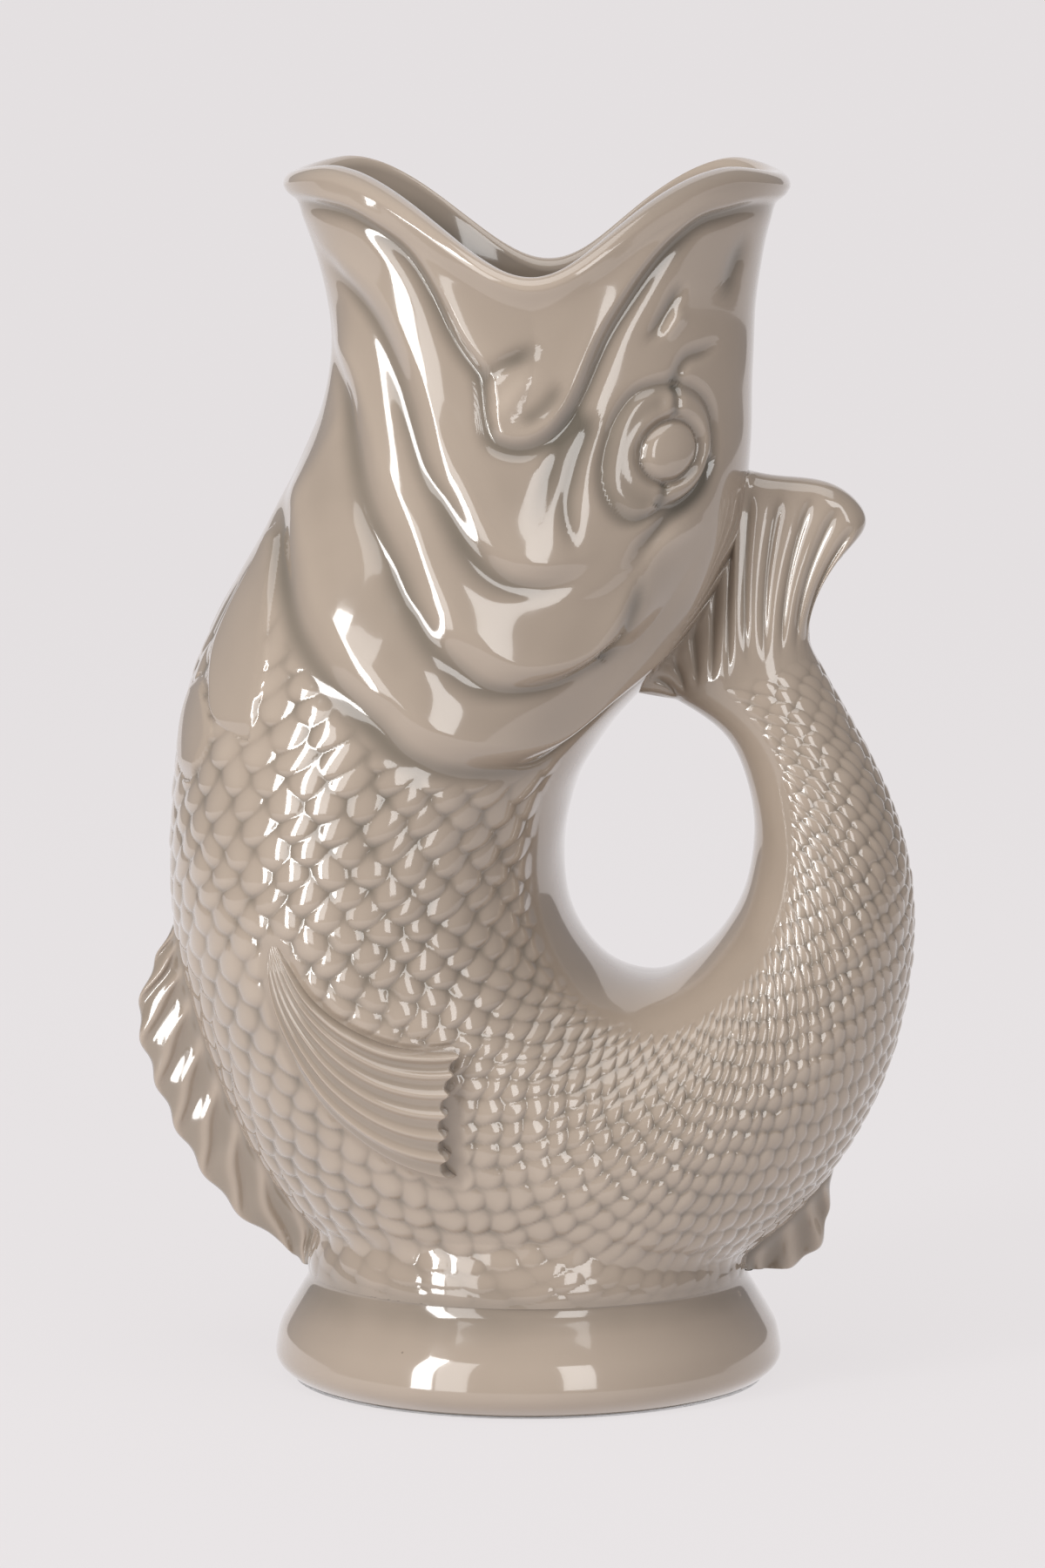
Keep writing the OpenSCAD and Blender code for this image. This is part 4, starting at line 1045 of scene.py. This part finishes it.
def glaze_and_painted_light_group(settings):
    """Node group: colour of the glaze from its tone, pale and warm where it runs thin over edges
    and where light is painted on, grey and deep where it pools and where shade is painted in, with
    a slow mottle and a few pinholes."""
    g = bpy.data.node_groups.new("GlazeAndPaintedLight", "ShaderNodeTree")
    for name, way, kind in (("Tone", "INPUT", "Float"), ("Bare", "INPUT", "Float"),
                            ("Place", "INPUT", "Vector"), ("Color", "OUTPUT", "Color"),
                            ("Roughness", "OUTPUT", "Float")):
        g.interface.new_socket(name, in_out=way, socket_type="NodeSocket" + kind)
    link = g.links.new
    inp, out = g.nodes.new("NodeGroupInput"), g.nodes.new("NodeGroupOutput")
    mottle = add_node(g, "ShaderNodeTexNoise", {"Scale": 28, "Detail": 3})
    link(inp.outputs["Place"], mottle.inputs["Vector"])
    # the mottle sways the tone about the middle of the ramp
    sway = add_node(g, "ShaderNodeMath", {1: 0.34, 2: 0.33}, "MULTIPLY_ADD")
    link(mottle.outputs["Fac"], sway.inputs[0])
    total = add_node(g, "ShaderNodeMath", {1: 0.32}, "MULTIPLY_ADD")
    link(inp.outputs["Tone"], total.inputs[0])
    link(sway.outputs[0], total.inputs[2])
    # the ramp's dark end is pooled glaze and painted shade, its pale end thin glaze and painted light
    ramp = g.nodes.new("ShaderNodeValToRGB")
    stops = ramp.color_ramp.elements
    stops[0].position, stops[0].color = 0.12, srgb(106, 98, 86)
    stops[1].position, stops[1].color = 0.95, srgb(188, 172, 156)
    stops.new(0.5).color = srgb(*settings.glaze_colour)
    link(total.outputs[0], ramp.inputs["Fac"])
    clay = blend_colours(g, inp.outputs["Bare"], ramp.outputs["Color"], srgb(214, 204, 190))
    # a few cells of a coarse pattern carry a pinhole
    speck = add_node(g, "ShaderNodeTexVoronoi", {"Scale": 95})
    link(inp.outputs["Place"], speck.inputs["Vector"])
    hole = add_node(g, "ShaderNodeMapRange", {"From Min": 0.018, "From Max": 0.03, "To Min": 0.5,
                                              "To Max": 0.0})
    link(speck.outputs["Distance"], hole.inputs["Value"])
    split = g.nodes.new("ShaderNodeSeparateColor")
    link(speck.outputs["Color"], split.inputs["Color"])
    rare = add_node(g, "ShaderNodeMath", {1: 0.93}, "GREATER_THAN")
    link(split.outputs["Red"], rare.inputs[0])
    both = add_node(g, "ShaderNodeMath", {}, "MULTIPLY")
    link(hole.outputs["Result"], both.inputs[0])
    link(rare.outputs[0], both.inputs[1])
    link(blend_colours(g, both.outputs[0], clay, srgb(96, 84, 72)), out.inputs["Color"])
    rough = add_node(g, "ShaderNodeMapRange", {"To Min": 0.11, "To Max": 0.8})
    link(inp.outputs["Bare"], rough.inputs["Value"])
    link(rough.outputs["Result"], out.inputs["Roughness"])
    return g


def new_material(name, values):
    """A material with values set on its Principled shader. Returns it, its tree of nodes, the
    shader and the output that gives the place on the object."""
    m = bpy.data.materials.new(name)
    m.use_nodes = True
    shader = m.node_tree.nodes["Principled BSDF"]
    set_sockets(shader, values)
    place = m.node_tree.nodes.new("ShaderNodeTexCoord")
    return m, m.node_tree, shader, place.outputs["Object"]


def ripple(tree, shader, place, noise, bump):
    """A fine uneven surface: noise over the place on the object, as a bump under the shader."""
    waves = add_node(tree, "ShaderNodeTexNoise", noise)
    lift = add_node(tree, "ShaderNodeBump", bump)
    tree.links.new(place, waves.inputs["Vector"])
    tree.links.new(waves.outputs["Fac"], lift.inputs["Height"])
    tree.links.new(lift.outputs["Normal"], shader.inputs["Normal"])


def glaze_material(settings):
    """Glossy greige glaze over a pale earthenware body."""
    _, tree, shader, place = new_material("greige_glaze", {
        "IOR": 1.52, "Coat Weight": 1.0, "Coat Roughness": 0.03, "Coat IOR": 1.5})
    link = tree.links.new
    tint = tree.nodes.new("ShaderNodeGroup")
    tint.node_tree = glaze_and_painted_light_group(settings)
    for name, socket in (("tone", "Tone"), ("bare", "Bare")):
        layer = tree.nodes.new("ShaderNodeAttribute")
        layer.attribute_name = name
        link(layer.outputs["Fac"], tint.inputs[socket])
    link(place, tint.inputs["Place"])
    link(tint.outputs["Color"], shader.inputs["Base Color"])
    link(tint.outputs["Roughness"], shader.inputs["Roughness"])
    ripple(tree, shader, place, {"Scale": 120, "Detail": 1}, {"Strength": 0.06, "Distance": 0.001})


# Operators

class JugSettings(bpy.types.PropertyGroup):
    """What can be set before the jug is built."""
    glaze_colour: bpy.props.FloatVectorProperty(
        name="Glaze colour", description="Colour of the glaze where it is neither thin nor pooled",
        default=(166, 151, 136), min=0, max=255, size=3)


class JUG_OT_finish(bpy.types.Operator):
    """Mix the glaze that every piece of the jug carries."""
    bl_idname = "jug.finish"
    bl_label = "Mix Glaze"

    def execute(self, context):
        glaze_material(context.scene.jug_settings)
        return {"FINISHED"}


class JUG_OT_head(bpy.types.Operator):
    """Build the lips and the three plates of the head, with the eyes and lids in the face."""
    bl_idname = "jug.head"
    bl_label = "Build Head"

    def execute(self, context):
        settle(lip_shell(), "lip_rim")
        settle(shell("face", LIP, FACE, 175, 24), "face_shell",
               "eye_left", "eye_right", "eyelid_left", "eyelid_right")
        settle(shell("cheek", FACE, CHEEK, 90, 12), "cheek_plate")
        settle(shell("gill", CHEEK, GILL, 110, 12), "gill_cover")
        return {"FINISHED"}


class JUG_OT_body(bpy.types.Operator):
    """Build the shoulder with the folds of the throat, the belly and the tail."""
    bl_idname = "jug.body"
    bl_label = "Build Body"

    def execute(self, context):
        shoulder, upper, middle, belly, bend = (level(t) for t in (
            SHOULDER_END, UPPER_END, MIDDLE_END, BELLY_END, BEND_END))
        settle(shell("shoulder", GILL, shoulder, 200, 8), "shoulder_shell",
               "throat_folds_left", "throat_folds_right")
        settle(shell("belly_upper", shoulder, upper, 130, 6), "belly_shell")
        settle(shell("belly_middle", upper, middle, 160, 6), "belly_shell")
        settle(shell("belly_lower", middle, belly, 205, 6), "belly_shell", "cove_ring")
        settle(shell("tail_bend_scaled", belly, bend, 150, 6), "tail_bend")
        settle(tail_shell(), "tail_handle")
        return {"FINISHED"}


class JUG_OT_foot(bpy.types.Operator):
    """Turn the foot."""
    bl_idname = "jug.foot"
    bl_label = "Build Foot"

    def execute(self, context):
        settle(foot(), "foot_ring")
        return {"FINISHED"}


class JUG_OT_fins(bpy.types.Operator):
    """Lay on the side fins, the fin under the belly, the rear fin and the tail fin."""
    bl_idname = "jug.fins"
    bl_label = "Build Fins"

    def execute(self, context):
        settle(side_fin("side_fin_near", 1), "side_fin_left")
        settle(side_fin("side_fin_far", -1), "side_fin_right")
        settle(keel_fin("belly_fin_scalloped", 9.3, 12.46,
                        (0, 34, 72, 100, 106, 106, 105, 101, 94, 78, 46, 0), 12.6, 9, 0.22),
               "belly_fin")
        settle(keel_fin("rear_fin_scalloped", 14.62, 15.98, (0, 38, 66, 83, 97, 91, 60, 24, 0),
                        9.0, 5, -0.2), "rear_fin")
        settle(tail_fin(), "tail_fin")
        return {"FINISHED"}


def floor_material():
    """Pale paper, lit from below like a light table, so that it shows evenly white."""
    m, tree, shader, place = new_material("studio_paper", {
        "Base Color": (0.1, 0.097, 0.098, 1), "Roughness": 0.9, "Specular IOR Level": 0.0,
        "Emission Color": srgb(233, 229, 230), "Emission Strength": 0.88})
    ripple(tree, shader, place, {"Scale": 300}, {"Strength": 0.02})
    return m


def paper_sweep():
    """The studio paper: flat under the jug, then swept up behind it in a quarter circle."""
    flat, turn = np.linspace(-0.6, 1.6, 9), np.radians(np.linspace(6, 90, 15))
    y = np.concatenate([flat, 1.6 + 1.2 * np.sin(turn), np.full(4, 2.8)])
    z = np.concatenate([np.zeros(len(flat)), 1.2 - 1.2 * np.cos(turn), np.linspace(1.8, 5, 4)])
    x = np.linspace(-1.4, 1.4, 9)
    rows = np.stack(np.broadcast_arrays(x[None], y[:, None], z[:, None]), -1)
    mesh = bpy.data.meshes.new("paper")
    mesh.from_pydata(rows.reshape(-1, 3).tolist(), [], quads(len(y), len(x), False, False).tolist())
    mesh.polygons.foreach_set("use_smooth", np.ones(len(mesh.polygons), bool))
    obj = bpy.data.objects.new("paper", mesh)
    bpy.context.scene.collection.objects.link(obj)
    mesh.materials.append(floor_material())
    obj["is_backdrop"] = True


# Soft boxes: name, degrees round from the front, height, distance, size in metres, power
LIGHTS = (("key_box", -45, 0.58, 1.6, (0.3, 1.4), 15),
          ("key_spill", -31, 0.6, 1.62, (0.45, 1.3), 5),
          ("fill_box", 26.5, 0.66, 1.7, (0.48, 1.05), 5.5),
          ("top_box", 0, 2.2, 0.5, (2.4, 2.0), 24))
# Point in the jug that the soft boxes are turned to
AIM = Vector((0, 0, 0.12))
# The camera: metres off and up, degrees round and down, millimetres of lens
CAMERA_OFF, CAMERA_UP, CAMERA_ROUND, CAMERA_DOWN, CAMERA_LENS = 1.6, 0.329, 3.5, 7.38, 181.6


def soft_box(name, azimuth, height, distance, size, power):
    """A rectangular soft box, azimuth degrees round from the front, turned to the jug."""
    light = bpy.data.lights.new(name, "AREA")
    light.shape = "RECTANGLE"
    light.size, light.size_y = size
    light.energy = power
    obj = bpy.data.objects.new(name, light)
    r = np.radians(azimuth)
    obj.location = (distance * np.sin(r), -distance * np.cos(r), height)
    obj.rotation_euler = (AIM - obj.location).to_track_quat("-Z", "Y").to_euler()
    bpy.context.scene.collection.objects.link(obj)


class JUG_OT_stage(bpy.types.Operator):
    """Set up the paper, the soft boxes, the room light and the camera."""
    bl_idname = "jug.stage"
    bl_label = "Set Stage"

    def execute(self, context):
        paper_sweep()
        for box in LIGHTS:
            soft_box(*box)
        world = bpy.data.worlds.new("room")
        world.use_nodes = True
        back = world.node_tree.nodes["Background"]
        back.inputs["Color"].default_value = srgb(236, 233, 235)
        back.inputs["Strength"].default_value = 0.3
        context.scene.world = world
        context.scene.view_settings.view_transform = "Standard"
        data = bpy.data.cameras.new("camera")
        data.lens = CAMERA_LENS
        data.sensor_fit = "VERTICAL"
        data.sensor_height = 36
        data.clip_end = 50
        cam = bpy.data.objects.new("camera", data)
        az, el = np.radians(CAMERA_ROUND), np.radians(CAMERA_DOWN)
        away = Vector((np.cos(el) * np.sin(az), -np.cos(el) * np.cos(az), np.sin(el)))
        cam.location = (CAMERA_OFF * np.sin(az), -CAMERA_OFF * np.cos(az), CAMERA_UP)
        cam.rotation_euler = away.to_track_quat("Z", "Y").to_euler()
        context.scene.collection.objects.link(cam)
        context.scene.camera = cam
        return {"FINISHED"}


class JUG_PT_panel(bpy.types.Panel):
    """Buttons that build the jug piece by piece."""
    bl_label = "Fish Jug"
    bl_idname = "JUG_PT_panel"
    bl_space_type = "VIEW_3D"
    bl_region_type = "UI"
    bl_category = "Jug"

    def draw(self, context):
        self.layout.prop(context.scene.jug_settings, "glaze_colour")
        for name in STEPS:
            self.layout.operator("jug." + name)


STEPS = ("finish", "head", "body", "foot", "fins", "stage")
CLASSES = (JugSettings, JUG_OT_finish, JUG_OT_head, JUG_OT_body, JUG_OT_foot, JUG_OT_fins,
           JUG_OT_stage, JUG_PT_panel)


def register():
    for cls in CLASSES:
        bpy.utils.register_class(cls)
    bpy.types.Scene.jug_settings = bpy.props.PointerProperty(type=JugSettings)


def unregister():
    del bpy.types.Scene.jug_settings
    for cls in reversed(CLASSES):
        bpy.utils.unregister_class(cls)


def main():
    """Build the whole jug."""
    def box():
        return [[float(c) for c in corner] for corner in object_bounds()]
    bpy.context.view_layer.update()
    register()
    for name in STEPS:
        getattr(bpy.ops.jug, name)()


if __name__ == "__main__":
    main()
